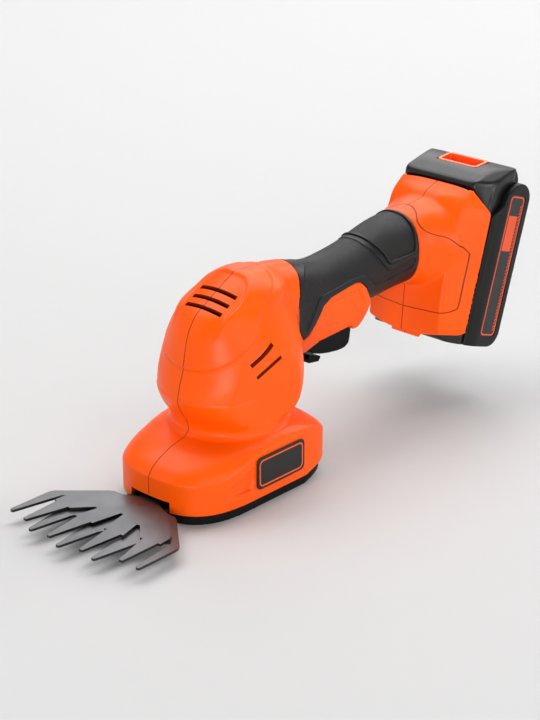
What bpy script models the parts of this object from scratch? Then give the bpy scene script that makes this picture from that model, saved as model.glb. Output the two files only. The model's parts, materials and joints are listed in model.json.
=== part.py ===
"""Cordless garden shear (grass shear head on a battery handle).

Axes: +Y runs from the blade to the battery, +X is the left hand side as the user
holds it, +Z is up. The pieces are laid out with y = 0 at the front of the skirt, and at
the end all are moved so that the origin lies under the blade pivot, on the flat
underside of the sole. All sizes are in metres.
"""
import math

import bmesh
import bpy
from mathutils import Matrix, Vector

# Walls, clearances and facet counts
WALL = 0.0024
SEAT_GAP = 0.0003
RUN_GAP = 0.0003
FACETS = 24
SMALL_FACETS = 12

# Blade unit
BLADE_THICKNESS = 0.0015
BLADE_BASE_Z = 0.00725
PIVOT_Y = 0.045
PIVOT_RADIUS = 0.003
FIXED_TEETH = 5
FIXED_TIP_REACH = 0.113
FIXED_ROOT_REACH = 0.0855
FIXED_HALF_WIDTH = 0.050
EDGE_TOOTH_INSET = 0.0012
TOOTH_PITCH = (FIXED_HALF_WIDTH - EDGE_TOOTH_INSET) / 2
FIXED_TIP_HALF = 0.0014
FIXED_ROOT_HALF = 0.0046
GULLET_FILLET = 0.0022
FIXED_SHOULDER_Y = -0.003
FIXED_SHOULDER_HALF = 0.018
FIXED_TAIL_Y = 0.057
FIXED_TAIL_HALF = 0.0195
SLOT_HALF_WIDTH = 0.01475
SLOT_TOP_Z = 0.0127
MOVING_TIP_REACH = 0.1109
MOVING_VEE_REACH = 0.0725
MOVING_MIDDLE_VEE_REACH = 0.067
MOVING_TIP_HALF = 0.0012
MOVING_ROOT_HALF = 0.005
MOVING_SHOULDER = 0.0017
MOVING_HALF_WIDTH = 0.0395
MOVING_NECK_HALF = 0.0078
MOVING_REST_ANGLE = math.radians(1.68)
SWING_ANGLE = math.radians(6.3)

# Drive train
CRANK_ARM = 0.020
CRANK_REST_ANGLE = math.radians(24.0)
CRANK_PIN_RADIUS = 0.002
CRANK_PIN_PLAY = 0.0007
CRANK_SHAFT_RADIUS = 0.004
BEARING_RADIUS = 0.009
BEARING_Z = (0.0130, 0.0172)
GEAR_MODULE = 0.0008
CRANK_GEAR_TEETH = 38
COMPOUND_SMALL_TEETH = 12
COMPOUND_LARGE_TEETH = 40
PINION_TEETH = 10
LOW_GEAR_Z = (0.0175, 0.0227)
HIGH_GEAR_Z = (0.0240, 0.0280)
AXLE_RADIUS = 0.002
GEAR_CASE_Z = (0.0143, 0.0289)
GEAR_CASE_FLOOR = 0.0029
MOTOR_PLATE_THICKNESS = 0.0025
MOTOR_RADIUS = 0.018
MOTOR_LENGTH = 0.050
MOTOR_SHAFT_RADIUS = 0.0016
END_BELL_HEIGHT = 0.0065
RIB_WEB = 0.008

# Skirt and sole
SKIRT_BASE_Z = 0.006
SKIRT_TOP_Z = 0.0400
SKIRT_FRONT_Y = 0.0003
SKIRT_REAR_Y = 0.111
SKIRT_HALF_WIDTH = 0.0388
SKIRT_WIDEST_Y = 0.046
SKIRT_FRONT_POWER = 2.85
SKIRT_REAR_POWER = 7.0
SKIRT_CREASE = ((0.0, 0.0242), (0.011, 0.0242), (0.019, 0.0248), (0.0283, 0.0268), (0.0394, 0.0310),
                (0.0503, 0.0340), (0.061, 0.0350), (0.076, 0.0350), (0.092, 0.0336), (0.101, 0.0308),
                (0.111, 0.0270))
SKIRT_SLOPE = ((0.121, 0.293), (0.299, 0.516), (0.523, 0.707), (0.745, 0.828), (0.925, 0.911))
SLOPE_STRAIGHTENING = 0.25
SOLE_INSET = 0.0018
SOLE_RISE_Y = 0.088
SOLE_RISE_SLOPE = 0.24
SOLE_FLOOR = 0.0024

# Head
NECK_RADIUS = 0.033
HEAD_BASE_Z = 0.045
HEAD_TOP_Z = 0.1242
HEAD_HALF_WIDTH = 0.0402
HEAD_FRONT_REACH = 0.0424
HEAD_REAR_REACH = 0.0400
FLANK_POINT = (0.0333, 0.0518, 0.0754)
FLANK_NORMAL = (0.9820, -0.1620, -0.0962)
FLANK_SOFTNESS = 0.0012

TOP_VENTS = ((0.0562, 0.1171, 30.0), (0.0501, 0.1137, 30.0), (0.0444, 0.1102, 31.0))
TOP_VENT_SIZE = (0.0266, 0.0027, 0.0130)
SIDE_VENTS = ((0.0558, 0.0878, 0.0345), (0.0603, 0.0796, 0.0355))
SIDE_VENT_SIZE = (0.0140, 0.0180, 0.0023)
SIDE_VENT_LEAN = math.radians(30.0)

# Handle
GRIP_THICKNESS = 0.0022
GRIP_FRONT_Y = 0.1052
GRIP_REAR_Y = 0.2108
COLLAR_FLARE = ((GRIP_REAR_Y + 0.0003, 0.0002), (0.2140, 0.0012), (0.2180, 0.0026),
                (0.2225, 0.0052), (0.2290, 0.0100))
PANEL_HALF_WIDTH = 0.0125
TRIGGER_HALF_WIDTH = 0.009
TRIGGER_PIVOT = (0.1262, 0.0722)
TRIGGER_PIN_RADIUS = 0.0022
TRIGGER_TRAVEL = math.radians(8.0)
TRIGGER_GAP = 0.0004
LOCK_HALF_WIDTH = 0.006
LOCK_STEM_HALF = 0.003
LOCK_TRAVEL = 0.004
PLUNGER_Y = 0.150
PLUNGER_RADIUS = 0.0022

# Foot and battery: their own frame is x across, y to the rear, z along the slide
FOOT_TILT = math.radians(18.0)
FOOT_ORIGIN = (0.0, 0.228, 0.052)
FOOT_HALF_WIDTH = 0.0420
FOOT_TOP = 0.0845
FOOT_BOTTOM = -0.0065
FOOT_FRONT_Y = 0.2195
FOOT_CREASE = 0.0252
RAIL_HALF_WIDTH = 0.0275
RAIL_NECK_HALF = 0.0235
RAIL_DEPTH = 0.0047
RAIL_SPAN = (0.004, 0.078)
BATTERY_HALF_WIDTH = 0.0375
BATTERY_DEPTH = 0.0448
BATTERY_SPLIT = 0.0165
BATTERY_BOTTOM = -0.0098
BATTERY_SHOULDER = 0.0932
BATTERY_WALL = 0.0020
BATTERY_STEP = 0.0012
HOOD_REAR = 0.0275
WELL_BLOCK_HALF = 0.0172
LABEL_DEPTH = 0.0010
LABEL_LOW = (0.0214, -0.0015)
LABEL_HIGH = (0.0389, 0.0862)
CELL_RADIUS = 0.0092
CELL_LENGTH = 0.065
CELL_PITCH = 0.0187
CELL_COUNT = 5
BUTTON_TRAVEL = 0.0025
BUTTON_WELL_FLOOR = 0.0882

# Fasteners
SCREW_RADIUS = 0.0015
SCREW_HEAD_RADIUS = 0.0029
BOSS_RADIUS = 0.0042
LEAD_RADIUS = 0.0009

# Worked out from the sizes above
CRANK_Y = PIVOT_Y + CRANK_ARM
CRANK_THROW = CRANK_ARM * math.tan(SWING_ANGLE)
GEAR_CENTRES = GEAR_MODULE * (CRANK_GEAR_TEETH + COMPOUND_SMALL_TEETH) / 2
COMPOUND_Y = CRANK_Y + GEAR_CENTRES
MOVING_BASE_Z = BLADE_BASE_Z + BLADE_THICKNESS + RUN_GAP
MOVING_TOP_Z = MOVING_BASE_Z + BLADE_THICKNESS
MOTOR_BASE_Z = GEAR_CASE_Z[1] + MOTOR_PLATE_THICKNESS + 2 * SEAT_GAP
MOTOR_TOP_Z = MOTOR_BASE_Z + MOTOR_LENGTH
FOOT_FRAME = Matrix.Translation(FOOT_ORIGIN) @ Matrix.Rotation(-FOOT_TILT, 4, "X")

parts = None
cutters = None


def start():
    """Empty the scene and make the two collections."""
    global parts, cutters
    for thing in list(bpy.data.objects):
        bpy.data.objects.remove(thing, do_unlink=True)
    parts = bpy.data.collections.new("garden_shear")
    cutters = bpy.data.collections.new("cutters")
    for group in (parts, cutters):
        bpy.context.scene.collection.children.link(group)


def material(name, colour, roughness, metallic=0.0):
    """A Principled material of one plain colour."""
    made = bpy.data.materials.get(name)
    if made:
        return made
    made = bpy.data.materials.new(name)
    made.use_nodes = True
    shader = made.node_tree.nodes["Principled BSDF"]
    shader.inputs["Base Color"].default_value = (*colour, 1.0)
    shader.inputs["Roughness"].default_value = roughness
    shader.inputs["Metallic"].default_value = metallic
    made.diffuse_color = (*colour, 1.0)
    return made


def orange_abs():
    return material("orange_abs", (0.95, 0.10, 0.012), 0.38)


def black_nylon():
    return material("black_nylon", (0.018, 0.018, 0.019), 0.45)


def soft_rubber():
    return material("soft_rubber", (0.030, 0.030, 0.031), 0.70)


def charcoal_abs():
    return material("charcoal_abs", (0.055, 0.055, 0.057), 0.42)


def blade_steel():
    return material("blade_steel", (0.42, 0.42, 0.43), 0.34, 1.0)


def zinc_steel():
    return material("zinc_steel", (0.55, 0.55, 0.56), 0.40, 1.0)


def sintered_steel():
    return material("sintered_steel", (0.22, 0.22, 0.23), 0.50, 1.0)


def brass():
    return material("brass", (0.72, 0.48, 0.18), 0.35, 1.0)


def copper_lead():
    return material("lead_insulation", (0.45, 0.02, 0.02), 0.5)


def cell_wrap():
    return material("cell_wrap", (0.03, 0.16, 0.30), 0.4)


def board_green():
    return material("board_green", (0.01, 0.14, 0.05), 0.5)


def add_mesh(name, mesh, finish=None):
    """An object in the parts collection, or a cutter when it has no finish."""
    made = bpy.data.objects.new(name, mesh)
    if finish:
        mesh.materials.clear()
        mesh.materials.append(finish)
        parts.objects.link(made)
    else:
        made.hide_render = True
        made.display_type = "WIRE"
        cutters.objects.link(made)
    return made


def evaluated_mesh(thing, weld=0.000002):
    """The object's mesh with its modifiers applied and its seams welded."""
    bpy.context.view_layer.update()
    source = thing.evaluated_get(bpy.context.evaluated_depsgraph_get())
    mesh = bpy.data.meshes.new_from_object(source)
    shape = bmesh.new()
    shape.from_mesh(mesh)
    bmesh.ops.remove_doubles(shape, verts=shape.verts, dist=weld)
    bmesh.ops.dissolve_degenerate(shape, dist=weld, edges=shape.edges)
    bmesh.ops.recalc_face_normals(shape, faces=shape.faces)
    shape.to_mesh(mesh)
    shape.free()
    return mesh


def settle(thing, finish=None, name=None):
    """Replace an object by its evaluated mesh, keeping its place."""
    mesh = evaluated_mesh(thing)
    kept_name = name or thing.name
    place = thing.matrix_world.copy()
    data = thing.data
    bpy.data.objects.remove(thing, do_unlink=True)
    if isinstance(data, bpy.types.Curve):
        bpy.data.curves.remove(data)
    made = add_mesh(kept_name, mesh, finish)
    made.matrix_world = place
    return made


def bake_place(thing):
    """Move an object's place into its mesh, so that its origin is the frame's."""
    bpy.context.view_layer.update()
    thing.data.transform(thing.matrix_world)
    thing.matrix_world = Matrix.Identity(4)
    return thing


def box(name, low, high, finish=None):
    """A block between two corners."""
    shape = bmesh.new()
    bmesh.ops.create_cube(shape, size=1.0)
    size = [b - a for a, b in zip(low, high)]
    middle = [(a + b) / 2 for a, b in zip(low, high)]
    bmesh.ops.scale(shape, vec=size, verts=shape.verts)
    bmesh.ops.translate(shape, vec=middle, verts=shape.verts)
    mesh = bpy.data.meshes.new(name)
    shape.to_mesh(mesh)
    shape.free()
    return add_mesh(name, mesh, finish)


def rod(name, radius, low, high, axis="Z", centre=(0, 0, 0), facets=FACETS, finish=None):
    """A round bar between two stations on an axis through the centre point."""
    shape = bmesh.new()
    bmesh.ops.create_cone(
        shape, cap_ends=True, segments=facets, radius1=radius, radius2=radius, depth=high - low
    )
    bmesh.ops.translate(shape, vec=(0, 0, (low + high) / 2), verts=shape.verts)
    turn = {
        "X": Matrix.Rotation(math.pi / 2, 4, "Y"),
        "Y": Matrix.Rotation(-math.pi / 2, 4, "X"),
        "Z": Matrix.Identity(4),
    }[axis]
    shape.transform(Matrix.Translation(centre) @ turn)
    mesh = bpy.data.meshes.new(name)
    shape.to_mesh(mesh)
    shape.free()
    mesh.shade_smooth()
    mesh.set_sharp_from_angle(angle=math.radians(35))
    return add_mesh(name, mesh, finish)


def turned(name, profile, finish=None, facets=FACETS, closed=False):
    """A turned piece: (radius, height) points, from the top down the outer side."""
    shape = bmesh.new()
    row = [shape.verts.new((radius, 0.0, height)) for radius, height in profile]
    pairs = list(zip(row, row[1:]))
    if closed:
        pairs.append((row[-1], row[0]))
    for pair in pairs:
        shape.edges.new(pair)
    mesh = bpy.data.meshes.new(name)
    shape.to_mesh(mesh)
    shape.free()
    made = add_mesh(name, mesh, finish)
    screw = made.modifiers.new("turn", "SCREW")
    screw.steps = facets
    screw.render_steps = facets
    screw.use_merge_vertices = True
    screw.merge_threshold = 0.00001
    made = settle(made, finish)
    made.data.shade_smooth()
    made.data.set_sharp_from_angle(angle=math.radians(35))
    return made


def plate(name, outlines, low, high, axis="Z", finish=None):
    """A flat piece between two stations; the second and later outlines are holes."""
    curve = bpy.data.curves.new(name, "CURVE")
    curve.dimensions = "2D"
    curve.fill_mode = "BOTH"
    curve.extrude = (high - low) / 2
    for outline in outlines:
        spline = curve.splines.new("POLY")
        spline.points.add(len(outline) - 1)
        for point, (across, up) in zip(spline.points, outline):
            point.co = (across, up, 0.0, 1.0)
        spline.use_cyclic_u = True
    made = bpy.data.objects.new(name, curve)
    cutters.objects.link(made)
    turn = {
        "Z": Matrix.Identity(4),
        "X": Matrix(((0, 0, 1, 0), (1, 0, 0, 0), (0, 1, 0, 0), (0, 0, 0, 1))),
        "Y": Matrix(((1, 0, 0, 0), (0, 0, -1, 0), (0, 1, 0, 0), (0, 0, 0, 1))),
    }[axis]
    shift = {
        "Z": (0, 0, (low + high) / 2),
        "X": ((low + high) / 2, 0, 0),
        "Y": (0, (low + high) / 2, 0),
    }[axis]
    made.matrix_world = Matrix.Translation(shift) @ turn
    made = settle(made, finish)
    return bake_place(made)


def loft(name, rings, finish=None):
    """A closed skin through rings of equal point counts, with flat ends."""
    shape = bmesh.new()
    rows = [[shape.verts.new(point) for point in ring] for ring in rings]
    count = len(rows[0])
    for lower, upper in zip(rows, rows[1:]):
        for i in range(count):
            j = (i + 1) % count
            shape.faces.new((lower[i], lower[j], upper[j], upper[i]))
    shape.faces.new(list(reversed(rows[0])))
    shape.faces.new(rows[-1])
    bmesh.ops.recalc_face_normals(shape, faces=shape.faces)
    mesh = bpy.data.meshes.new(name)
    shape.to_mesh(mesh)
    shape.free()
    return add_mesh(name, mesh, finish)


def cut_by_plane(thing, point, normal):
    """Take away what lies on the normal's side of a plane and close the cut."""
    shape = bmesh.new()
    shape.from_mesh(thing.data)
    everything = shape.verts[:] + shape.edges[:] + shape.faces[:]
    cut = bmesh.ops.bisect_plane(
        shape, geom=everything, dist=1e-7, plane_co=point, plane_no=normal, clear_outer=True
    )
    rim = [item for item in cut["geom_cut"] if isinstance(item, bmesh.types.BMEdge)]
    rim = [edge for edge in rim if len(edge.link_faces) == 1]
    bmesh.ops.triangle_fill(shape, use_beauty=True, edges=rim, normal=normal)
    bmesh.ops.recalc_face_normals(shape, faces=shape.faces)
    shape.to_mesh(thing.data)
    shape.free()
    return thing


def combine(thing, other, operation):
    """Join, cut or keep the common part of two solids."""
    step = thing.modifiers.new(operation.lower(), "BOOLEAN")
    step.operation = operation
    step.object = other
    step.solver = "EXACT"
    return thing


def join(thing, *others):
    for other in others:
        combine(thing, other, "UNION")
    return thing


def cut(thing, *others):
    for other in others:
        combine(thing, other, "DIFFERENCE")
    return thing


def pooled(things):
    """One cutter made of several solids that stand clear of each other."""
    shape = bmesh.new()
    for thing in things:
        mesh = evaluated_mesh(thing)
        mesh.transform(thing.matrix_world)
        shape.from_mesh(mesh)
        bpy.data.meshes.remove(mesh)
    mesh = bpy.data.meshes.new("pooled")
    shape.to_mesh(mesh)
    shape.free()
    return add_mesh("pooled_" + things[0].name, mesh)


def rounded(thing, width, segments=2, angle=30.0):
    """Round the edges of a piece."""
    bevel = thing.modifiers.new("round", "BEVEL")
    bevel.width = width
    bevel.segments = segments
    bevel.limit_method = "ANGLE"
    bevel.angle_limit = math.radians(angle)
    return thing


def arc(centre, radius, start_angle, end_angle, steps):
    """Points of an arc, in degrees, both ends included."""
    points = []
    for i in range(steps + 1):
        angle = math.radians(start_angle + (end_angle - start_angle) * i / steps)
        points.append((centre[0] + radius * math.cos(angle), centre[1] + radius * math.sin(angle)))
    return points


def circle(centre, radius, facets=FACETS):
    return arc(centre, radius, 0.0, 360.0 - 360.0 / facets, facets - 1)


def rounded_rectangle(low, high, radius, steps=4):
    """A rectangle outline with round corners, anticlockwise."""
    (x0, y0), (x1, y1) = low, high
    return (
        arc((x1 - radius, y0 + radius), radius, -90, 0, steps)
        + arc((x1 - radius, y1 - radius), radius, 0, 90, steps)
        + arc((x0 + radius, y1 - radius), radius, 90, 180, steps)
        + arc((x0 + radius, y0 + radius), radius, 180, 270, steps)
    )


def oval(front, rear, half, widest, front_power, rear_power, count):
    """A plan outline: a superellipse with its own front and rear reach."""
    points = []
    for i in range(count):
        angle = 2 * math.pi * i / count
        across = math.cos(angle)
        along = math.sin(angle)
        power = rear_power if along > 0 else front_power
        reach = (rear - widest) if along > 0 else (widest - front)
        x = half * math.copysign(abs(across) ** (2 / power), across)
        y = widest + reach * math.copysign(abs(along) ** (2 / power), along)
        points.append((x, y))
    return points


def moved(outline, station, axis="Z"):
    """Lift a flat outline into space at a station of an axis."""
    if axis == "Y":
        return [(a, station, b) for a, b in outline]
    return [(a, b, station) for a, b in outline]


# Skins of the skirt, the head and the handle. The inset is zero outside and the wall inside.
def crease_height(along):
    """Height of the skirt's crease: low across the front, high beside the plates."""
    for (near, low), (far, high) in zip(SKIRT_CREASE, SKIRT_CREASE[1:]):
        if along <= far:
            share = max(0.0, (along - near) / (far - near))
            return low + share * (high - low)
    return SKIRT_CREASE[-1][1]


def skirt_rings(inset, count):
    """Rings of the skirt: straight up to the crease, then sloping in to the neck."""
    plan = skirt_plan(inset, count)
    ring = NECK_RADIUS - inset
    neck = oval(CRANK_Y - ring, CRANK_Y + ring, ring, CRANK_Y, 2, 2, count)
    drop = 0.9 * inset
    base = SKIRT_BASE_Z - (0.02 if inset > 0 else 0.0)
    rings = [moved(plan, base)]
    rings.append([(x, y, crease_height(y) - drop) for x, y in plan])
    for inward, upward in SKIRT_SLOPE:
        outline = []
        for (x, y), (neck_x, neck_y) in zip(plan, neck):
            crease = crease_height(y)
            straight = SLOPE_STRAIGHTENING * (x / SKIRT_HALF_WIDTH) ** 2
            rise = upward + straight * (inward - upward)
            outline.append((
                x + inward * (neck_x - x),
                y + inward * (neck_y - y),
                crease + rise * (SKIRT_TOP_Z - crease) - drop,
            ))
        rings.append(outline)
    rings.append(moved(neck, SKIRT_TOP_Z + 0.0010 - drop))
    return rings


def flattened(outline, height, inset):
    """Press a head outline flat where it stands over the facets on its flanks."""
    reach, along, up = FLANK_POINT
    across, forward, downward = FLANK_NORMAL
    pressed = []
    for x, y in outline:
        over = (abs(x) - reach) * across + (y - along) * forward + (height - up) * downward + inset
        push = 0.0
        if over > FLANK_SOFTNESS:
            push = over
        elif over > -FLANK_SOFTNESS:
            push = (over + FLANK_SOFTNESS) ** 2 / (4 * FLANK_SOFTNESS)
        pressed.append((x - math.copysign(push / across, x), y))
    return pressed


def body_rings(inset, count=40):
    """Plan outlines from the skirt's rim over the crease and the neck to the crown."""
    rings = skirt_rings(inset, count)
    ring = NECK_RADIUS - inset
    neck = oval(CRANK_Y - ring, CRANK_Y + ring, ring, CRANK_Y, 2, 2, count)
    rings.append(moved(neck, HEAD_BASE_Z - 0.0012))
    tall = HEAD_TOP_Z - HEAD_BASE_Z
    shares = (
        (0.035, 0.807, 0.919, 0.900),
        (0.100, 0.893, 0.976, 0.962),
        (0.200, 0.972, 1.008, 1.000),
        (0.300, 0.944, 1.018, 1.000),
        (0.400, 0.880, 1.000, 1.000),
        (0.500, 0.836, 0.942, 1.000),
        (0.600, 0.798, 0.850, 0.990),
        (0.690, 0.738, 0.755, 0.965),
        (0.785, 0.606, 0.662, 0.930),
        (0.860, 0.377, 0.600, 0.890),
        (0.915, 0.196, 0.525, 0.830),
        (0.960, 0.038, 0.392, 0.760),
        (0.990, -0.094, 0.240, 0.680),
    )
    for height, front, side, rear in shares:
        front_y = CRANK_Y - HEAD_FRONT_REACH * front
        rear_y = CRANK_Y + HEAD_REAR_REACH * rear
        widest = (front_y + rear_y) / 2 if front_y > 0.045 else CRANK_Y
        outline = oval(
            front_y + inset, rear_y - inset, HEAD_HALF_WIDTH * side - inset, widest, 1.97, 2.2, count
        )
        level = HEAD_BASE_Z + tall * height
        rings.append(moved(flattened(outline, level, inset), level - inset * height))
    return rings


def upright_oval(half, low, high, power, count):
    """A cross section of the handle: across and up."""
    middle = (low + high) / 2
    reach = (high - low) / 2
    points = []
    for i in range(count):
        angle = 2 * math.pi * i / count
        x = half * math.copysign(abs(math.cos(angle)) ** (2 / power), math.cos(angle))
        z = middle + reach * math.copysign(abs(math.sin(angle)) ** (2 / power), math.sin(angle))
        points.append((x, z))
    return points


def shoulder_rings(inset, rear, count=28):
    """The root of the handle, which comes out of the back of the head."""
    stations = (
        (0.0840, 0.0640, 0.1195, 0.0170),
        (0.0950, 0.0612, 0.1226, 0.0176),
        (rear, 0.0600, 0.1212, 0.0176),
    )
    rings = []
    for along, low, high, half in stations:
        outline = upright_oval(half - inset, low + inset, high - inset, 2.2, count)
        rings.append(moved(outline, along, "Y"))
    return rings


def handle_rings(inset, front=0.0955, count=28):
    """The handle from the head into the foot, at the outside of the grip."""
    stations = (
        (front, 0.0600, 0.1224, 0.0178),
        (0.1075, 0.0605, 0.1208, 0.0175),
        (0.118, 0.0640, 0.1178, 0.0173),
        (0.134, 0.0700, 0.1148, 0.0170),
        (0.151, 0.0745, 0.1153, 0.0170),
        (0.172, 0.0770, 0.1181, 0.0174),
        (0.194, 0.0790, 0.1228, 0.0182),
        (0.212, 0.0795, 0.1238, 0.0188),
        (0.232 + 0.5 * inset, 0.0795, 0.1220, 0.0190),
    )
    rings = []
    for along, low, high, half in stations:
        outline = upright_oval(half - inset, low + inset, high - inset, 2.25, count)
        rings.append(moved(outline, along, "Y"))
    return rings


def collar_rings(count=28):
    """The swell of the foot round the grip's rear end."""
    stations = handle_rings(0.0, count=count)
    rings = []
    for along, grow in COLLAR_FLARE:
        near, far = [(a, b) for a, b in zip(stations, stations[1:]) if a[0][1] <= along <= b[0][1]][0]
        share = (along - near[0][1]) / (far[0][1] - near[0][1])
        middle = sum(near[i][2] for i in range(count)) / count
        ring = []
        for a, b in zip(near, far):
            x = a[0] + share * (b[0] - a[0])
            z = a[2] + share * (b[2] - a[2])
            away = math.hypot(x, z - middle)
            lift = grow * (0.4 if z > middle + 0.015 else 1.0)
            ring.append((x + grow * x / away, along, z + lift * (z - middle) / away))
        rings.append(ring)
    return rings


def panel_outline(inset):
    """Side outline of the bare panel over the trigger."""
    top = (
        (0.1000 - inset, 0.0560 + inset),
        (0.1150, 0.0560 + inset),
        (0.1183 + 0.5 * inset, 0.0605 + inset),
        (0.1222 + 0.5 * inset, 0.0662 + inset),
        (0.1270, 0.0690 + inset),
        (0.1555, 0.0708 + inset),
        (0.1567, 0.0680 + inset),
        (0.1585, 0.0668 + inset),
        (0.1625 - inset, 0.0668 + inset),
        (0.1642 - inset, 0.0700 + inset),
        (0.1675 - inset, 0.0780 + inset),
        (0.1690 - inset, 0.0830),
        (0.1645 - inset, 0.0925 - inset),
        (0.1600 - inset, 0.0968 - inset),
        (0.1545 - inset, 0.0979 - inset),
        (0.1325, 0.0949 - inset),
        (0.1264, 0.0918 - inset),
        (0.1207, 0.0838 - inset),
        (0.1150, 0.0765 - inset),
        (0.1088, 0.0738 - inset),
        (0.1000 - inset, 0.0732 - inset),
    )
    return top


def foot_side_outline(inset):
    """Side outline of the foot: y and z in the common frame."""
    rear_low = FOOT_FRAME @ Vector((0, -inset, FOOT_BOTTOM + inset))
    rear_high = FOOT_FRAME @ Vector((0, -inset, FOOT_TOP - inset))
    return (
        (FOOT_FRONT_Y + inset, 0.0480 + inset),
        (FOOT_FRONT_Y + inset, 0.0660),
        (0.2343 + inset, 0.0980),
        (0.2378 + inset, 0.1130),
        (0.2440 + inset, 0.1268 - 0.6 * inset),
        (0.2500 + 0.4 * inset, 0.1341 - inset),
        (rear_high.y, rear_high.z),
        (rear_low.y, rear_low.z),
    )


def foot_block(name, inset):
    """The foot: its side outline carried across, then cut by its flat facets."""
    half = FOOT_HALF_WIDTH + 0.004
    block = plate(name, [foot_side_outline(inset)], -half, half, "X")
    edge = FOOT_HALF_WIDTH - inset
    for side in (1, -1):
        flank = FOOT_FRAME @ Vector((side * edge, 0, 0.070))
        normal = FOOT_FRAME.to_3x3() @ Vector((side, 0, -0.020 * side * side))
        cut_by_plane(block, flank, normal)
        slant = FOOT_FRAME.to_3x3() @ Vector((side * 0.677, -0.728, -0.108)).normalized()
        crease = Vector((side * FOOT_CREASE, FOOT_FRONT_Y, 0.066))
        cut_by_plane(block, crease - inset * slant, slant)
        corner = FOOT_FRAME @ Vector((side * 0.0275, 0, FOOT_TOP - inset))
        slope = FOOT_FRAME.to_3x3() @ Vector((side * 0.60, 0, 0.80))
        cut_by_plane(block, corner, slope)
        heel = FOOT_FRAME @ Vector((side * (FOOT_HALF_WIDTH - 0.0075), 0, FOOT_BOTTOM + inset))
        turn = FOOT_FRAME.to_3x3() @ Vector((side * 0.75, 0, -0.66))
        cut_by_plane(block, heel, turn)
    return block


def slotted_box(name, centre, size, angle, axis="X"):
    """A cutter block turned by an angle about an axis through its centre."""
    half = [s / 2 for s in size]
    made = box(name, [-h for h in half], half)
    made.matrix_world = Matrix.Translation(centre) @ Matrix.Rotation(angle, 4, axis)
    return bake_place(made)


def screw_places():
    """Middle points (y, z) of the housing screws, which run along X."""
    foot = FOOT_FRAME @ Vector((0, -0.0115, 0.045))
    return {
        "housing_screw_front": (0.0215, 0.0255),
        "housing_screw_neck": (0.0945, 0.0600),
        "housing_screw_head": (0.0925, 0.1090),
        "housing_screw_grip": (0.1800, 0.0975),
        "housing_screw_foot": (foot.y, foot.z),
    }


def outer_skin():
    """The whole housing as one solid, before it is hollowed and split."""
    skin = loft("outer_body", body_rings(0.0))
    cut_by_plane(
        skin,
        (0, SOLE_RISE_Y, SKIRT_BASE_Z),
        Vector((0, SOLE_RISE_SLOPE, -1.0)).normalized(),
    )
    shoulder = loft("outer_shoulder", shoulder_rings(0.0, GRIP_FRONT_Y))
    core = loft("outer_core", handle_rings(GRIP_THICKNESS + SEAT_GAP, front=0.1000))
    panel = loft("outer_panel", handle_rings(0.0, front=0.1010))
    cheeks = box("panel_cheeks", (-PANEL_HALF_WIDTH, 0.09, 0.05), (PANEL_HALF_WIDTH, 0.18, 0.105))
    reach = plate("panel_limit", [panel_outline(0.0)], -0.03, 0.03, "X")
    join(panel, cheeks)
    combine(panel, reach, "INTERSECT")
    panel = settle(panel)
    foot = settle(rounded(foot_block("outer_foot", 0.0), 0.0028, 2))
    lip = box("outer_lip", (-0.013, -0.006, FOOT_BOTTOM - 0.0035), (0.013, -0.0003, FOOT_BOTTOM + 0.002))
    lip.matrix_world = FOOT_FRAME
    bake_place(lip)
    collar = loft("outer_collar", collar_rings())
    join(skin, shoulder, core, panel, foot, lip, collar)
    return settle(skin, name="outer_skin")


def inner_hollow():
    """The hollow of the housing, with its ribs and screw pillars left standing."""
    hollow = loft("inner_body", body_rings(WALL))
    core = loft("inner_core", handle_rings(GRIP_THICKNESS + SEAT_GAP + WALL, front=0.0880))
    panel = plate(
        "inner_panel", [panel_outline(WALL)], -PANEL_HALF_WIDTH + WALL, PANEL_HALF_WIDTH - WALL, "X"
    )
    foot = foot_block("inner_foot", WALL)
    join(hollow, core, panel, foot)
    hollow = settle(hollow, name="hollow")
    ribs = [
        box("rib_lock_spring", (-0.011, 0.1030, 0.050), (0.011, 0.1050, 0.0690)),
        box("rib_switch_front", (-0.05, 0.1355, 0.0820), (0.05, 0.1375, 0.0900)),
        box("rib_switch_rear", (-0.05, 0.1604, 0.0820), (0.05, 0.1624, 0.0900)),
    ]
    for i, height in enumerate((0.046, MOTOR_TOP_Z - 0.006)):
        rear = CRANK_Y + MOTOR_RADIUS + RIB_WEB
        rib = box("rib_%d" % i, (-0.05, 0.02, height), (0.05, rear, height + 0.002))
        bore = rod("rib_bore_%d" % i, MOTOR_RADIUS + SEAT_GAP, height - 0.01, height + 0.01,
                   centre=(0, CRANK_Y, 0))
        cut(rib, bore)
        ribs.append(settle(rib))
    for name, (along, up) in screw_places().items():
        ribs.append(
            rod("pillar_" + name, BOSS_RADIUS, -0.05, 0.05, "X", (0, along, up), SMALL_FACETS)
        )
    cut(hollow, *ribs)
    return settle(hollow, name="hollow")


def vent_cuts():
    """The slots the motor breathes through: three on top, two on each side."""
    made = []
    for i, (along, up, lean) in enumerate(TOP_VENTS):
        made.append(slotted_box("top_vent_%d" % i, (0, along, up), TOP_VENT_SIZE,
                                math.radians(lean)))
    for side in (1, -1):
        for i, (along, up, half) in enumerate(SIDE_VENTS):
            vent = slotted_box("side_vent_%d_%d" % (i, side), (side * half, along, up),
                               SIDE_VENT_SIZE, SIDE_VENT_LEAN)
            made.append(vent)
    return made


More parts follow.
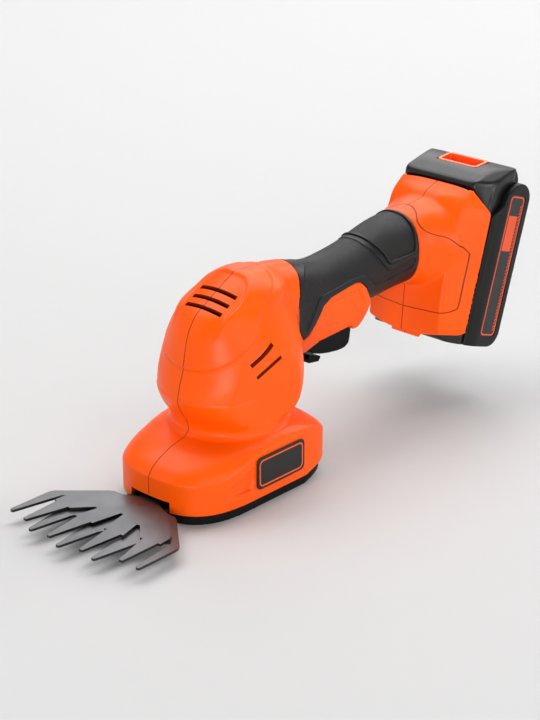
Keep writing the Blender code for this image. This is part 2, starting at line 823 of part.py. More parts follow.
def housing_cuts():
    """Blade slot, trigger and lock slots, pivot seats and battery rails, cut through both halves."""
    made = [box("blade_slot", (-SLOT_HALF_WIDTH, -0.02, 0.0), (SLOT_HALF_WIDTH, 0.010, SLOT_TOP_Z))]
    made.append(
        box(
            "trigger_slot",
            (-TRIGGER_HALF_WIDTH - TRIGGER_GAP, 0.1215, 0.050),
            (TRIGGER_HALF_WIDTH + TRIGGER_GAP, 0.1612, 0.0750),
        )
    )
    rail_low = (-RAIL_NECK_HALF - TRIGGER_GAP, -WALL - 0.0006, FOOT_BOTTOM + WALL + 0.0005)
    rail_high = (RAIL_NECK_HALF + TRIGGER_GAP, 0.01, FOOT_TOP + 0.02)
    rails = box("rail_opening", rail_low, rail_high)
    flange = box(
        "rail_exit",
        (-RAIL_HALF_WIDTH - TRIGGER_GAP, -RAIL_DEPTH - TRIGGER_GAP, FOOT_TOP - 0.015),
        (RAIL_HALF_WIDTH + TRIGGER_GAP, 0.01, FOOT_TOP + 0.02),
    )
    rails = settle(join(rails, flange))
    rails.matrix_world = FOOT_FRAME
    bake_place(rails)
    made.append(rails)
    return made


def screw_cuts(part):
    """Screw holes from the right hand side: clearance holes, or the pockets of the heads."""
    radius, depth = (SCREW_RADIUS, 0.0105) if part == "hole" else (SCREW_HEAD_RADIUS, -0.0070)
    made = []
    for name, (along, up) in screw_places().items():
        made.append(rod(part + "_" + name, radius + RUN_GAP, -0.06, depth, "X", (0, along, up),
                        SMALL_FACETS))
    if part == "hole":
        made.append(rod("trunnion_seat", TRIGGER_PIN_RADIUS + RUN_GAP, -0.0118, 0.0118, "X",
                        (0, *TRIGGER_PIVOT), SMALL_FACETS))
        made.append(box("lock_slot", (-LOCK_STEM_HALF - TRIGGER_GAP, 0.1128, 0.050),
                        (LOCK_STEM_HALF + TRIGGER_GAP, 0.1222, 0.0668)))
    return made


def housing():
    """The two halves of the moulded housing."""
    skin = outer_skin()
    hollow = inner_hollow()
    skin = settle(cut(skin, hollow), name="shell")
    for group in (vent_cuts(), housing_cuts(), screw_cuts("hole"), screw_cuts("pocket")):
        skin = settle(cut(skin, pooled(group)))
    for name, side in (("housing_left", 1), ("housing_right", -1)):
        half = add_mesh(name, skin.data.copy(), orange_abs())
        cut_by_plane(half, (side * SEAT_GAP / 2, 0, 0), (-side, 0, 0))


def soft_grip():
    """Two halves of the soft overmould round the handle."""
    for name, side in (("soft_grip_left", 1), ("soft_grip_right", -1)):
        sleeve = loft(name, handle_rings(0.0, front=GRIP_FRONT_Y - 0.004), soft_rubber())
        bore = loft("bore_" + name, handle_rings(GRIP_THICKNESS, front=GRIP_FRONT_Y - 0.006))
        window = plate("window_" + name, [panel_outline(-SEAT_GAP)], -0.03, 0.03, "X")
        edge = SEAT_GAP / 2
        low = (-0.1, 0.0, 0.0) if side > 0 else (-edge, 0.0, 0.0)
        high = (edge, 0.3, 0.2) if side > 0 else (0.1, 0.3, 0.2)
        front = box("front_" + name, (-0.1, 0.05, 0.0), (0.1, GRIP_FRONT_Y + SEAT_GAP, 0.2))
        below = box("below_" + name, (-0.1, 0.05, 0.0), (0.1, 0.1500, 0.0745))
        behind = box("behind_" + name, (-0.1, GRIP_REAR_Y, 0.0), (0.1, 0.3, 0.2))
        cut(sleeve, bore, window, box("half_" + name, low, high), front, below, behind)
        if side < 0:
            along, up = screw_places()["housing_screw_grip"]
            cut(sleeve, rod("sleeve_pocket", SCREW_HEAD_RADIUS + RUN_GAP, -0.06, -0.0070, "X",
                            (0, along, up), SMALL_FACETS))


def skirt_plan(inset, count=40):
    """Plan outline of the skirt's rim, moved inward."""
    return oval(
        SKIRT_FRONT_Y + inset, SKIRT_REAR_Y - inset, SKIRT_HALF_WIDTH - inset,
        SKIRT_WIDEST_Y, SKIRT_FRONT_POWER, SKIRT_REAR_POWER, count,
    )


def sole_layer(name, inset, low, high):
    """A slab of the skirt's plan between two heights, rising at the rear."""
    slab = plate(name, [skirt_plan(inset)], -0.02, 0.06)
    rise = SOLE_RISE_SLOPE * 0.040
    rear = SOLE_RISE_Y + 0.040
    profile = [(-0.02, low), (SOLE_RISE_Y, low), (rear, low + rise), (rear, high + rise),
               (SOLE_RISE_Y, high), (-0.02, high)]
    combine(slab, plate(name + "_profile", [profile], -0.06, 0.06, "X"), "INTERSECT")
    return settle(slab, name=name)


def sole():
    """The tray that closes the skirt from below and carries the blade unit."""
    tray = sole_layer("sole_cover", SOLE_INSET, 0.0, SKIRT_BASE_Z - SEAT_GAP)
    spigot = sole_layer("sole_spigot", WALL + 0.0008, SOLE_FLOOR, SKIRT_BASE_Z + 0.0035)
    dish = sole_layer("sole_dish", WALL + 0.0028, SOLE_FLOOR, 0.04)
    notch = box("sole_notch", (-SLOT_HALF_WIDTH, -0.01, BLADE_BASE_Z - 0.0005),
                (SLOT_HALF_WIDTH, 0.020, 0.05))
    latch_gap = box("sole_latch_gap", (-0.0075, 0.0930, -0.01), (0.0075, 0.12, 0.05))
    join(tray, spigot)
    cut(tray, dish, notch, latch_gap)
    tray = settle(tray, black_nylon())


def fixed_blade():
    """The comb blade: five teeth, a wide body and a tail inside the skirt."""
    middle = (FIXED_TEETH - 1) / 2
    corner = PIVOT_Y - math.sqrt(FIXED_ROOT_REACH**2 - (middle * TOOTH_PITCH) ** 2)
    outline = []
    for i in range(FIXED_TEETH):
        across = (i - middle) * TOOTH_PITCH
        tip_y = PIVOT_Y - math.sqrt(FIXED_TIP_REACH**2 - across**2)
        root_y = PIVOT_Y - math.sqrt(FIXED_ROOT_REACH**2 - across**2)
        left = across - FIXED_ROOT_HALF
        right = across + FIXED_ROOT_HALF
        tip_left = across - FIXED_TIP_HALF
        tip_right = across + FIXED_TIP_HALF
        if i == 0:
            outline.append((-FIXED_HALF_WIDTH, corner - 0.0048))
            tip_left = -FIXED_HALF_WIDTH
            right = -FIXED_HALF_WIDTH + 0.008
        else:
            outline.append((left - GULLET_FILLET, root_y + 0.0004))
            outline.append((left - 0.0006, root_y - GULLET_FILLET * 0.8))
        if i == FIXED_TEETH - 1:
            tip_right = FIXED_HALF_WIDTH
        outline.append((tip_left, tip_y + FIXED_TIP_HALF))
        outline.append((0.6 * tip_left + 0.4 * across, tip_y + 0.0003))
        outline.append((0.6 * tip_right + 0.4 * across, tip_y + 0.0003))
        outline.append((tip_right, tip_y + FIXED_TIP_HALF))
        if i == FIXED_TEETH - 1:
            outline.append((FIXED_HALF_WIDTH, corner - 0.0048))
        else:
            outline.append((right + 0.0006, root_y - GULLET_FILLET * 0.8))
            outline.append((right + GULLET_FILLET, root_y + 0.0004))
    last = FIXED_HALF_WIDTH
    outline += [(last - 0.0003, corner - 0.0023), (last - 0.0015, corner + 0.0002)]
    outline += [(0.0262, -0.0048), (0.0236, -0.0034), (FIXED_SHOULDER_HALF, FIXED_SHOULDER_Y)]
    neck = SLOT_HALF_WIDTH - 0.00045
    outline += [(neck + 0.001, FIXED_SHOULDER_Y), (neck, FIXED_SHOULDER_Y + 0.001), (neck, 0.0075)]
    outline += [(FIXED_TAIL_HALF, 0.0125), (FIXED_TAIL_HALF, FIXED_TAIL_Y)]
    outline += [(-x, y) for x, y in reversed(outline[-11:])]
    holes = [
        circle((0, PIVOT_Y), PIVOT_RADIUS + RUN_GAP, SMALL_FACETS),
        circle((0.0160, 0.024), 0.0021, SMALL_FACETS),
        circle((-0.0160, 0.024), 0.0021, SMALL_FACETS),
    ]
    plate("fixed_blade", [outline] + holes, BLADE_BASE_Z, BLADE_BASE_Z + BLADE_THICKNESS, "Z",
          blade_steel())


def polar(reach, angle, side=0.0):
    """A point at a reach from the pivot, angle from straight ahead, side step across."""
    return (
        reach * math.sin(angle) + side * math.cos(angle),
        -reach * math.cos(angle) + side * math.sin(angle),
    )


def moving_blade():
    """The four-toothed cutter. Its own frame has the pivot at the origin."""
    pitch = 2 * SWING_ANGLE
    outline = []
    for i in range(4):
        place = (i - 1.5) * pitch
        lean = 0.34 * place
        tip = polar(MOVING_TIP_REACH, place)
        back = MOVING_TIP_REACH - FIXED_ROOT_REACH
        foot = (tip[0] - back * math.sin(lean), tip[1] + back * math.cos(lean))
        for side, half, origin in (
            (-1, MOVING_ROOT_HALF + MOVING_SHOULDER, foot),
            (-1, MOVING_ROOT_HALF, foot),
            (-1, MOVING_TIP_HALF, tip),
            (1, MOVING_TIP_HALF, tip),
            (1, MOVING_ROOT_HALF, foot),
            (1, MOVING_ROOT_HALF + MOVING_SHOULDER, foot),
        ):
            outline.append(
                (origin[0] + side * half * math.cos(lean), origin[1] + side * half * math.sin(lean))
            )
        if i < 3:
            reach = MOVING_MIDDLE_VEE_REACH if i == 1 else MOVING_VEE_REACH
            between = place + pitch / 2
            for step in (-0.0010, 0.0010):
                outline.append(polar(reach, between, step))
    side = MOVING_HALF_WIDTH
    flank = [(side, -0.0750), (side - 0.0003, -0.0715), (side - 0.0016, -0.0685)]
    flank += [(0.0200, -0.0515), (0.0125, -0.0488), (MOVING_NECK_HALF, -0.0460)]
    tail = CRANK_ARM + CRANK_THROW + CRANK_PIN_RADIUS + 0.0048
    flank += [(MOVING_NECK_HALF, tail - 0.005), (MOVING_NECK_HALF - 0.005, tail)]
    outline += flank
    outline += [(-x, y) for x, y in reversed(flank)]
    slot_half = CRANK_PIN_RADIUS + CRANK_PIN_PLAY
    slot_front = CRANK_ARM - slot_half
    slot_rear = CRANK_ARM + CRANK_THROW + slot_half
    slot = arc((0, slot_rear - slot_half), slot_half, 0, 180, 6)
    slot += arc((0, slot_front + slot_half - 0.0006), slot_half, 180, 360, 6)
    holes = [circle((0, 0), PIVOT_RADIUS + RUN_GAP, SMALL_FACETS), slot]
    blade = plate("moving_blade", [outline] + holes, MOVING_BASE_Z, MOVING_TOP_Z, "Z", blade_steel())
    blade.location = (0, PIVOT_Y, 0)
    blade.rotation_euler = (0, 0, MOVING_REST_ANGLE)


def blade_mounts():
    """Carrier under the blades, guide over them, pivot bolt, washer and screws."""
    top = BLADE_BASE_Z - SEAT_GAP
    low = SOLE_FLOOR + SEAT_GAP
    body = rounded_rectangle((-0.0225, 0.0155), (0.0225, 0.060), 0.004)
    carrier = plate(
        "blade_carrier",
        [body, circle((0, PIVOT_Y), PIVOT_RADIUS + RUN_GAP, SMALL_FACETS)]
        + [circle((side * 0.0160, 0.024), 0.0018, SMALL_FACETS) for side in (1, -1)],
        low, top, "Z", black_nylon(),
    )
    guide_low = MOVING_TOP_Z + RUN_GAP
    guide_high = SLOT_TOP_Z - 0.0004
    outline = [(-0.0140, 0.0036), (0.0140, 0.0036), (0.0140, 0.0110), (0.0115, 0.0135),
               (0.0115, CRANK_Y - BEARING_RADIUS - 0.002), (-0.0115, CRANK_Y - BEARING_RADIUS - 0.002),
               (-0.0115, 0.0135), (-0.0140, 0.0110)]
    plate("blade_guide", [outline, circle((0, PIVOT_Y), 0.0068, SMALL_FACETS)], guide_low, guide_high,
          "Z", black_nylon())
    washer_top = guide_low + 0.0006
    turned(
        "pivot_washer",
        [(PIVOT_RADIUS + RUN_GAP, washer_top), (0.0062, washer_top), (0.0062, guide_low),
         (PIVOT_RADIUS + RUN_GAP, guide_low)],
        zinc_steel(), SMALL_FACETS, closed=True,
    ).location = (0, PIVOT_Y, 0)
    head_low = washer_top + SEAT_GAP
    turned(
        "pivot_bolt",
        [(0, head_low + 0.0018), (0.0044, head_low + 0.0018), (0.0052, head_low + 0.0012),
         (0.0052, head_low), (PIVOT_RADIUS, head_low), (PIVOT_RADIUS, low), (0, low)],
        zinc_steel(), SMALL_FACETS,
    ).location = (0, PIVOT_Y, 0)
    for name, side in (("blade_screw_left", 1), ("blade_screw_right", -1)):
        head = BLADE_BASE_Z + BLADE_THICKNESS + SEAT_GAP
        turned(
            name,
            [(0, head + 0.0016), (0.0020, head + 0.0016), (0.0030, head + 0.0008), (0.0030, head),
             (0.0015, head), (0.0015, low + 0.0004), (0, low + 0.0004)],
            zinc_steel(), SMALL_FACETS,
        ).location = (side * 0.0160, 0.024, 0)


def gear_outline(teeth, phase=0.0):
    """A gear's outline: straight-flanked teeth with running play."""
    pitch_radius = GEAR_MODULE * teeth / 2
    tip = pitch_radius + 0.85 * GEAR_MODULE
    root = pitch_radius - 1.15 * GEAR_MODULE
    step = 2 * math.pi / teeth
    points = []
    for i in range(teeth):
        centre = phase + i * step
        for radius, share in ((root, -0.27), (tip, -0.09), (tip, 0.09), (root, 0.27)):
            angle = centre + share * step
            points.append((radius * math.cos(angle), radius * math.sin(angle)))
    return points


def crank():
    """Crank gear and shaft with its eccentric pin, turning about the motor's line."""
    angle = CRANK_REST_ANGLE
    throw = (-CRANK_THROW * math.sin(angle), CRANK_THROW * math.cos(angle))
    bore = CRANK_SHAFT_RADIUS + SEAT_GAP
    gear = plate(
        "crank_gear",
        [gear_outline(CRANK_GEAR_TEETH, math.pi / 2), circle((0, 0), bore, FACETS)],
        LOW_GEAR_Z[0], LOW_GEAR_Z[1], "Z", sintered_steel(),
    )
    gear.location = (0, CRANK_Y, 0)
    disc_low = MOVING_TOP_Z + 2 * RUN_GAP
    disc_high = BEARING_Z[0] - SEAT_GAP
    shaft = turned(
        "crank_shaft",
        [(0, LOW_GEAR_Z[1] + 0.0006), (CRANK_SHAFT_RADIUS, LOW_GEAR_Z[1] + 0.0006),
         (CRANK_SHAFT_RADIUS, disc_high), (0.0058, disc_high), (0.0058, disc_low), (0, disc_low)],
        zinc_steel(),
    )
    pin = rod("crank_pin_form", CRANK_PIN_RADIUS, MOVING_BASE_Z - 0.0002, disc_low + 0.0005,
              centre=(throw[0], throw[1], 0), facets=SMALL_FACETS)
    join(shaft, pin)
    shaft.location = (0, CRANK_Y, 0)
    pin.parent = shaft
    bearing = turned(
        "crank_bearing",
        [(CRANK_SHAFT_RADIUS + RUN_GAP, BEARING_Z[1]), (BEARING_RADIUS, BEARING_Z[1]),
         (BEARING_RADIUS, BEARING_Z[0]), (CRANK_SHAFT_RADIUS + RUN_GAP, BEARING_Z[0])],
        zinc_steel(), FACETS, closed=True,
    )
    bearing.location = (0, CRANK_Y, 0)


def compound_gear():
    """The idler: a large gear over a small one, on a fixed axle."""
    bore = circle((0, 0), AXLE_RADIUS + RUN_GAP, SMALL_FACETS)
    gear = plate("compound_gear", [gear_outline(COMPOUND_LARGE_TEETH, -math.pi / 2), bore],
                 HIGH_GEAR_Z[0], HIGH_GEAR_Z[1], "Z", sintered_steel())
    half_tooth = math.pi / COMPOUND_SMALL_TEETH
    small = plate("compound_small_form",
                  [gear_outline(COMPOUND_SMALL_TEETH, -math.pi / 2 + half_tooth), bore],
                  LOW_GEAR_Z[0], HIGH_GEAR_Z[0] + 0.0008)
    join(gear, small)
    gear.location = (0, COMPOUND_Y, 0)
    small.parent = gear
    axle = rod("compound_axle", AXLE_RADIUS, GEAR_CASE_Z[0] + 0.0004,
               GEAR_CASE_Z[1] + MOTOR_PLATE_THICKNESS - 0.0002, facets=SMALL_FACETS,
               finish=zinc_steel())
    axle.location = (0, COMPOUND_Y, 0)


def stadium(radius, steps=10):
    """Outline round the two gear axes."""
    return arc((0, CRANK_Y), radius, 180, 360, steps) + arc((0, COMPOUND_Y), radius, 0, 180, steps)


def gear_case():
    """The tub round the gears and the plate that closes it and carries the motor."""
    inner = GEAR_MODULE * COMPOUND_LARGE_TEETH / 2 + GEAR_MODULE + 0.0006
    tub = plate("gear_case", [stadium(inner + 0.002)], GEAR_CASE_Z[0], GEAR_CASE_Z[1], "Z",
                charcoal_abs())
    room = plate("gear_room", [stadium(inner)], GEAR_CASE_Z[0] + GEAR_CASE_FLOOR, 0.05)
    seat = rod("bearing_seat", BEARING_RADIUS + SEAT_GAP, 0.0, 0.03, centre=(0, CRANK_Y, 0))
    axle = rod("axle_seat", AXLE_RADIUS + SEAT_GAP, 0.0, 0.03, centre=(0, COMPOUND_Y, 0),
               facets=SMALL_FACETS)
    cut(tub, room, seat, axle)
    low = GEAR_CASE_Z[1] + SEAT_GAP
    high = low + MOTOR_PLATE_THICKNESS
    holes = [
        circle((0, CRANK_Y), 0.0065, SMALL_FACETS),
        circle((0, COMPOUND_Y), AXLE_RADIUS + SEAT_GAP, SMALL_FACETS),
        circle((0.0125, CRANK_Y), SCREW_RADIUS + RUN_GAP, SMALL_FACETS),
        circle((-0.0125, CRANK_Y), SCREW_RADIUS + RUN_GAP, SMALL_FACETS),
    ]
    plate("motor_plate", [stadium(inner + 0.002)] + holes, low, high, "Z", zinc_steel())


def motor():
    """Motor can, end bell, rotor with shaft, pinion and the two motor screws."""
    low, high = MOTOR_BASE_Z, MOTOR_TOP_Z
    wall = 0.0016
    boss = MOTOR_SHAFT_RADIUS + 0.0026
    can = turned(
        "motor_can",
        [(MOTOR_RADIUS - wall, high), (MOTOR_RADIUS, high), (MOTOR_RADIUS, low + 0.001),
         (MOTOR_RADIUS - 0.001, low), (boss + 0.0012, low), (boss + 0.0012, low - 0.0014),
         (MOTOR_SHAFT_RADIUS + RUN_GAP, low - 0.0014), (MOTOR_SHAFT_RADIUS + RUN_GAP, low + wall),
         (MOTOR_RADIUS - wall, low + wall)],
        zinc_steel(), FACETS, closed=True,
    )
    can.location = (0, CRANK_Y, 0)
    for side in (1, -1):
        hole = rod("can_hole_%d" % side, SCREW_RADIUS + RUN_GAP, low - 0.01, low + 0.006,
                   centre=(side * 0.0125, 0, 0), facets=SMALL_FACETS)
        hole.parent = can
        cut(can, hole)
    bell_low = high + SEAT_GAP
    bell = turned(
        "motor_end_bell",
        [(0, bell_low + END_BELL_HEIGHT), (0.006, bell_low + END_BELL_HEIGHT),
         (0.006, bell_low + 0.004), (MOTOR_RADIUS - 0.0015, bell_low + 0.004),
         (MOTOR_RADIUS - 0.0005, bell_low + 0.003), (MOTOR_RADIUS - 0.0005, bell_low),
         (MOTOR_RADIUS - 0.0035, bell_low), (MOTOR_RADIUS - 0.0035, bell_low + 0.0016),
         (MOTOR_SHAFT_RADIUS + RUN_GAP, bell_low + 0.0016),
         (MOTOR_SHAFT_RADIUS + RUN_GAP, bell_low + END_BELL_HEIGHT - 0.002),
         (0, bell_low + END_BELL_HEIGHT - 0.002)],
        black_nylon(),
    )
    bell.location = (0, CRANK_Y, 0)
    shaft_low = HIGH_GEAR_Z[0] - 0.0004
    shaft_high = bell_low + END_BELL_HEIGHT - 0.0023
    rotor = turned(
        "motor_rotor",
        [(0, shaft_high), (MOTOR_SHAFT_RADIUS, shaft_high), (MOTOR_SHAFT_RADIUS, high - 0.002),
         (0.0050, high - 0.002), (0.0050, high - 0.009), (0.0130, high - 0.009),
         (0.0130, low + 0.006), (MOTOR_SHAFT_RADIUS, low + 0.006), (MOTOR_SHAFT_RADIUS, shaft_low),
         (0, shaft_low)],
        sintered_steel(), FACETS,
    )
    rotor.location = (0, CRANK_Y, 0)
    half_tooth = math.pi / PINION_TEETH
    pinion = plate(
        "motor_pinion",
        [gear_outline(PINION_TEETH, math.pi / 2 + half_tooth),
         circle((0, 0), MOTOR_SHAFT_RADIUS + SEAT_GAP, SMALL_FACETS)],
        HIGH_GEAR_Z[0], HIGH_GEAR_Z[1], "Z", brass(),
    )
    pinion.location = (0, CRANK_Y, 0)
    for name, side in (("motor_screw_left", 1), ("motor_screw_right", -1)):
        head = GEAR_CASE_Z[1]
        turned(
            name,
            [(0, low + 0.0035), (SCREW_RADIUS, low + 0.0035), (SCREW_RADIUS, head),
             (0.0026, head), (0.0026, head - 0.0010), (0, head - 0.0010)],
            zinc_steel(), SMALL_FACETS,
        ).location = (side * 0.0125, CRANK_Y, 0)


def trigger_group():
    """Trigger, its plunger, spring and switch, and the lock-off button."""
    pivot_y, pivot_z = TRIGGER_PIVOT
    outline = [
        (0.1225, 0.0730), (0.1238, 0.0630), (0.1262, 0.0602), (0.1325, 0.0580), (0.1410, 0.0562),
        (0.1489, 0.0552), (0.1556, 0.0556), (0.1585, 0.0572), (0.1595, 0.0605), (0.1602, 0.0655),
        (0.1602, 0.0742), (0.1590, 0.0752), (0.1240, 0.0752),
    ]
    outline = [(y - pivot_y, z - pivot_z) for y, z in outline]
    trigger = plate("trigger", [outline], -TRIGGER_HALF_WIDTH, TRIGGER_HALF_WIDTH, "X", black_nylon())
    trigger.location = (0, pivot_y, pivot_z)
    rounded(trigger, 0.0016, 2, 40)
    housing_pin_half = 0.0115
    pin = rod("trigger_trunnion_form", TRIGGER_PIN_RADIUS, -housing_pin_half, housing_pin_half, "X",
              (0, 0, 0), SMALL_FACETS)
    pin.parent = trigger
    join(trigger, pin)
    switch_low = 0.0845
    switch = box("switch_body", (-0.0085, 0.1380, switch_low), (0.0085, 0.1600, 0.1010), black_nylon())
    well = rod("plunger_well", PLUNGER_RADIUS + RUN_GAP, 0.05, 0.0960, centre=(0, PLUNGER_Y, 0),
               facets=SMALL_FACETS)
    cut(switch, well)
    rounded(switch, 0.0008, 1, 60)
    plunger_low = 0.0755
    plunger = rod("switch_plunger", PLUNGER_RADIUS, 0.0, 0.0155, facets=SMALL_FACETS,
                  finish=charcoal_abs())
    plunger.location = (0, PLUNGER_Y, plunger_low)
    low = 0.0755
    high = switch_low - SEAT_GAP
    coil("trigger_spring", (0, 0.1420, low), high - low, 0.0026, 4, 0.0004)


def lock_off():
    """The lock-off button: a knob under the trigger's nose on a stem into the housing."""
    knob = plate(
        "lock_off_button",
        [[(0.1252, 0.0562), (0.1262, 0.0532), (0.1345, 0.0520), (0.1362, 0.0535), (0.1366, 0.0548),
          (0.1270, 0.0582)]],
        -LOCK_HALF_WIDTH, LOCK_HALF_WIDTH, "X", black_nylon(),
    )
    stem = plate(
        "lock_stem_form",
        [[(0.1258, 0.0545), (0.1280, 0.0550), (0.1266, 0.0580), (0.1216, 0.0630), (0.1214, 0.0650),
          (0.1184, 0.0650), (0.1186, 0.0616)]],
        -LOCK_STEM_HALF, LOCK_STEM_HALF, "X",
    )
    flange = box("lock_flange_form", (-0.0050, 0.1128, 0.0645), (0.0050, 0.1194, 0.0662))
    join(knob, stem, flange)
    coil("lock_off_spring", (0, 0.1054, 0.0660), 0.1124 - 0.1054, 0.0022, 4, 0.0003, "Y")



def coil(name, base, height, radius, turns, wire, axis="Z"):
    """A compression spring from its base along an axis."""
    curve = bpy.data.curves.new(name, "CURVE")
    curve.dimensions = "3D"
    curve.bevel_depth = wire
    curve.bevel_resolution = 1
    curve.use_fill_caps = True
    spline = curve.splines.new("POLY")
    per_turn = 9
    count = turns * per_turn + 1
    spline.points.add(count - 1)
    for i, point in enumerate(spline.points):
        angle = 2 * math.pi * i / per_turn
        rise = wire + (height - 2 * wire) * i / (count - 1)
        point.co = (radius * math.cos(angle), radius * math.sin(angle), rise, 1.0)
    made = bpy.data.objects.new(name, curve)
    cutters.objects.link(made)
    turn = Matrix.Rotation(-math.pi / 2, 4, "X") if axis == "Y" else Matrix.Identity(4)
    made.matrix_world = Matrix.Translation(base) @ turn
    return settle(made, zinc_steel())


def smooth_path(points, per_span=4):
    """Points along a Catmull-Rom curve through the route."""
    ends = [points[0]] + list(points) + [points[-1]]
    path = []
    for a, b, c, d in zip(ends, ends[1:], ends[2:], ends[3:]):
        a, b, c, d = Vector(a), Vector(b), Vector(c), Vector(d)
        for i in range(per_span):
            t = i / per_span
            path.append(
                0.5 * ((2 * b) + (c - a) * t + (2 * a - 5 * b + 4 * c - d) * t * t
                       + (3 * b - a - 3 * c + d) * t * t * t)
            )
    path.append(Vector(points[-1]))
    return path


def lead(name, points, finish):
    """An insulated lead along a smooth route inside the housing."""
    curve = bpy.data.curves.new(name, "CURVE")
    curve.dimensions = "3D"
    curve.bevel_depth = LEAD_RADIUS
    curve.bevel_resolution = 1
    curve.use_fill_caps = True
    path = smooth_path(points)
    spline = curve.splines.new("POLY")
    spline.points.add(len(path) - 1)
    for point, place in zip(spline.points, path):
        point.co = (*place, 1.0)
    made = bpy.data.objects.new(name, curve)
    cutters.objects.link(made)
    return settle(made, finish)


def leads():
    """Leads from the battery contacts to the switch and on to the motor."""
    bell_top = MOTOR_TOP_Z + SEAT_GAP + 0.004
    black = material("lead_insulation_black", (0.01, 0.01, 0.01), 0.5)
    up = [tuple(FOOT_FRAME @ Vector((0.005, t, s)))
          for t, s in ((-0.0065, 0.0219), (-0.0063, 0.0310), (-0.0080, 0.0358), (-0.0130, 0.0392))]
    down = [(-x, y, z) for x, y, z in up]
    lead("battery_lead",
         up + [(0.006, 0.2080, 0.1030),
          (0.007, 0.1920, 0.1075), (0.007, 0.1720, 0.1065), (0.005, 0.1614, 0.0970)], copper_lead())
    lead("motor_lead",
         [(0.004, 0.1376, 0.0940), (0.005, 0.1280, 0.0960), (0.006, 0.1140, 0.1010),
          (0.007, 0.1000, 0.1010), (0.008, 0.0840, 0.0970), (0.009, 0.0740, bell_top + 0.0016)],
         copper_lead())
    lead("return_lead",
         down + [(-0.007, 0.2080, 0.1030),
          (-0.009, 0.1920, 0.1075), (-0.0098, 0.1720, 0.1060), (-0.0105, 0.1600, 0.0990), (-0.0105, 0.1400, 0.0970),
          (-0.009, 0.1180, 0.1000), (-0.008, 0.1000, 0.1010), (-0.008, 0.0840, 0.0970),
          (-0.009, 0.0740, bell_top + 0.0016)], black)


def terminal_block():
    """The contact block in the foot, with its blades toward the battery."""
    block = box("terminal_block", (-0.0160, -0.0083, 0.0085), (0.0160, -RAIL_DEPTH - 0.0006, 0.0215),
                black_nylon())
    for i, across in enumerate((-0.0105, 0.0105)):
        blade = box("contact_form_%d" % i, (across - 0.0004, -0.0070, 0.0105),
                    (across + 0.0004, 0.0012, 0.0195))
        blade.parent = block
        join(block, blade)
    block.matrix_world = FOOT_FRAME
    return block


def battery_outline(inset):
    """Side outline of the pack: y to the rear, z along the slide, round at both ends."""
    radius = 0.0105 - inset
    rear = BATTERY_DEPTH - inset
    top = BATTERY_SHOULDER - inset
    low = BATTERY_BOTTOM + inset
    front = RUN_GAP + inset
    return (
        [(front, low + 0.004), (front + 0.004, low)]
        + arc((rear - radius, low + radius), radius, -90, 0, 5)
        + arc((rear - radius, top - radius), radius, 0, 90, 5)
        + [(front + 0.004, top), (front, top - 0.004)]
    )


def foot_framed(thing):
    """Put a piece that is laid out in the foot's frame into its place."""
    bpy.context.view_layer.update()
    thing.matrix_world = FOOT_FRAME @ thing.matrix_world
    return thing


def hood_block(name):
    """The pack's top cover: its side outline kept within its plan outline."""
    side_outline = [
        (-0.0082, FOOT_TOP + 0.0016), (-0.0086, FOOT_TOP + 0.0034), (0.0127, 0.0966),
        (0.0245, 0.1028), (HOOD_REAR, 0.1028), (HOOD_REAR, 0.0800), (0.0030, 0.0800),
        (0.0030, FOOT_TOP + 0.0016),
    ]
    half_plan = [(0.0180, -0.0086), (0.0285, 0.0002), (0.0310, 0.0060), (0.0345, 0.0110),
                 (0.0352, 0.0200), (0.0352, 0.0500)]
    block = plate(name, [side_outline], -0.036, 0.036, "X")
    plan = plate(name + "_plan", [half_plan + [(-x, y) for x, y in reversed(half_plan)]], 0.07, 0.11)
    combine(block, plan, "INTERSECT")
    block = settle(block, name=name)
    for side in (1, -1):
        cut_by_plane(block, (side * 0.0270, 0, 0.1028), (side * 0.72, 0, 0.69))
    return block


def battery_front(hollow_side):
    """Front shell of the pack with the top cover, the rails and the button's well."""
    split = BATTERY_SPLIT
    front_half = BATTERY_HALF_WIDTH - BATTERY_STEP
    front = plate("battery_case_front", [battery_outline(0.0)], -front_half, front_half, "X")
    cut_by_plane(front, (0, split - SEAT_GAP / 2, 0), (0, 1, 0))
    front = settle(rounded(front, 0.0010, 1, 50))
    hollow = plate("battery_front_hollow", [battery_outline(BATTERY_WALL)], -hollow_side,
                   hollow_side, "X")
    cut_by_plane(hollow, (0, 0, BUTTON_WELL_FLOOR - 0.0022), (0, 0, 1))
    flange = box("rail_form", (-RAIL_HALF_WIDTH, -RAIL_DEPTH, RAIL_SPAN[0]),
                 (RAIL_HALF_WIDTH, -WALL - 0.0006, RAIL_SPAN[1]))
    neck = box("rail_neck_form", (-RAIL_NECK_HALF, -WALL - 0.0010, RAIL_SPAN[0] + 0.0005),
               (RAIL_NECK_HALF, RUN_GAP + 0.001, RAIL_SPAN[1] - 0.0005))
    join(front, hood_block("hood_form"), flange, neck)
    well = box("button_well", (-0.0150, 0.0108, BUTTON_WELL_FLOOR), (0.0150, 0.0253, 0.120))
    behind = box("hood_limit", (-0.05, split - SEAT_GAP / 2, -0.05),
                 (0.05, 0.06, BATTERY_SHOULDER + SEAT_GAP))
    cut(behind, box("well_block", (-WELL_BLOCK_HALF, 0.0, BUTTON_WELL_FLOOR - 0.0022),
                    (WELL_BLOCK_HALF, HOOD_REAR, 0.12)))
    grooves = [
        box("contact_groove_%d" % i, (across - 0.0011, -0.02, -0.02), (across + 0.0011, 0.0040, 0.0250))
        for i, across in enumerate((-0.0105, 0.0105))
    ]
    cut(front, hollow, behind, well, *grooves)
    return foot_framed(settle(front, black_nylon()))


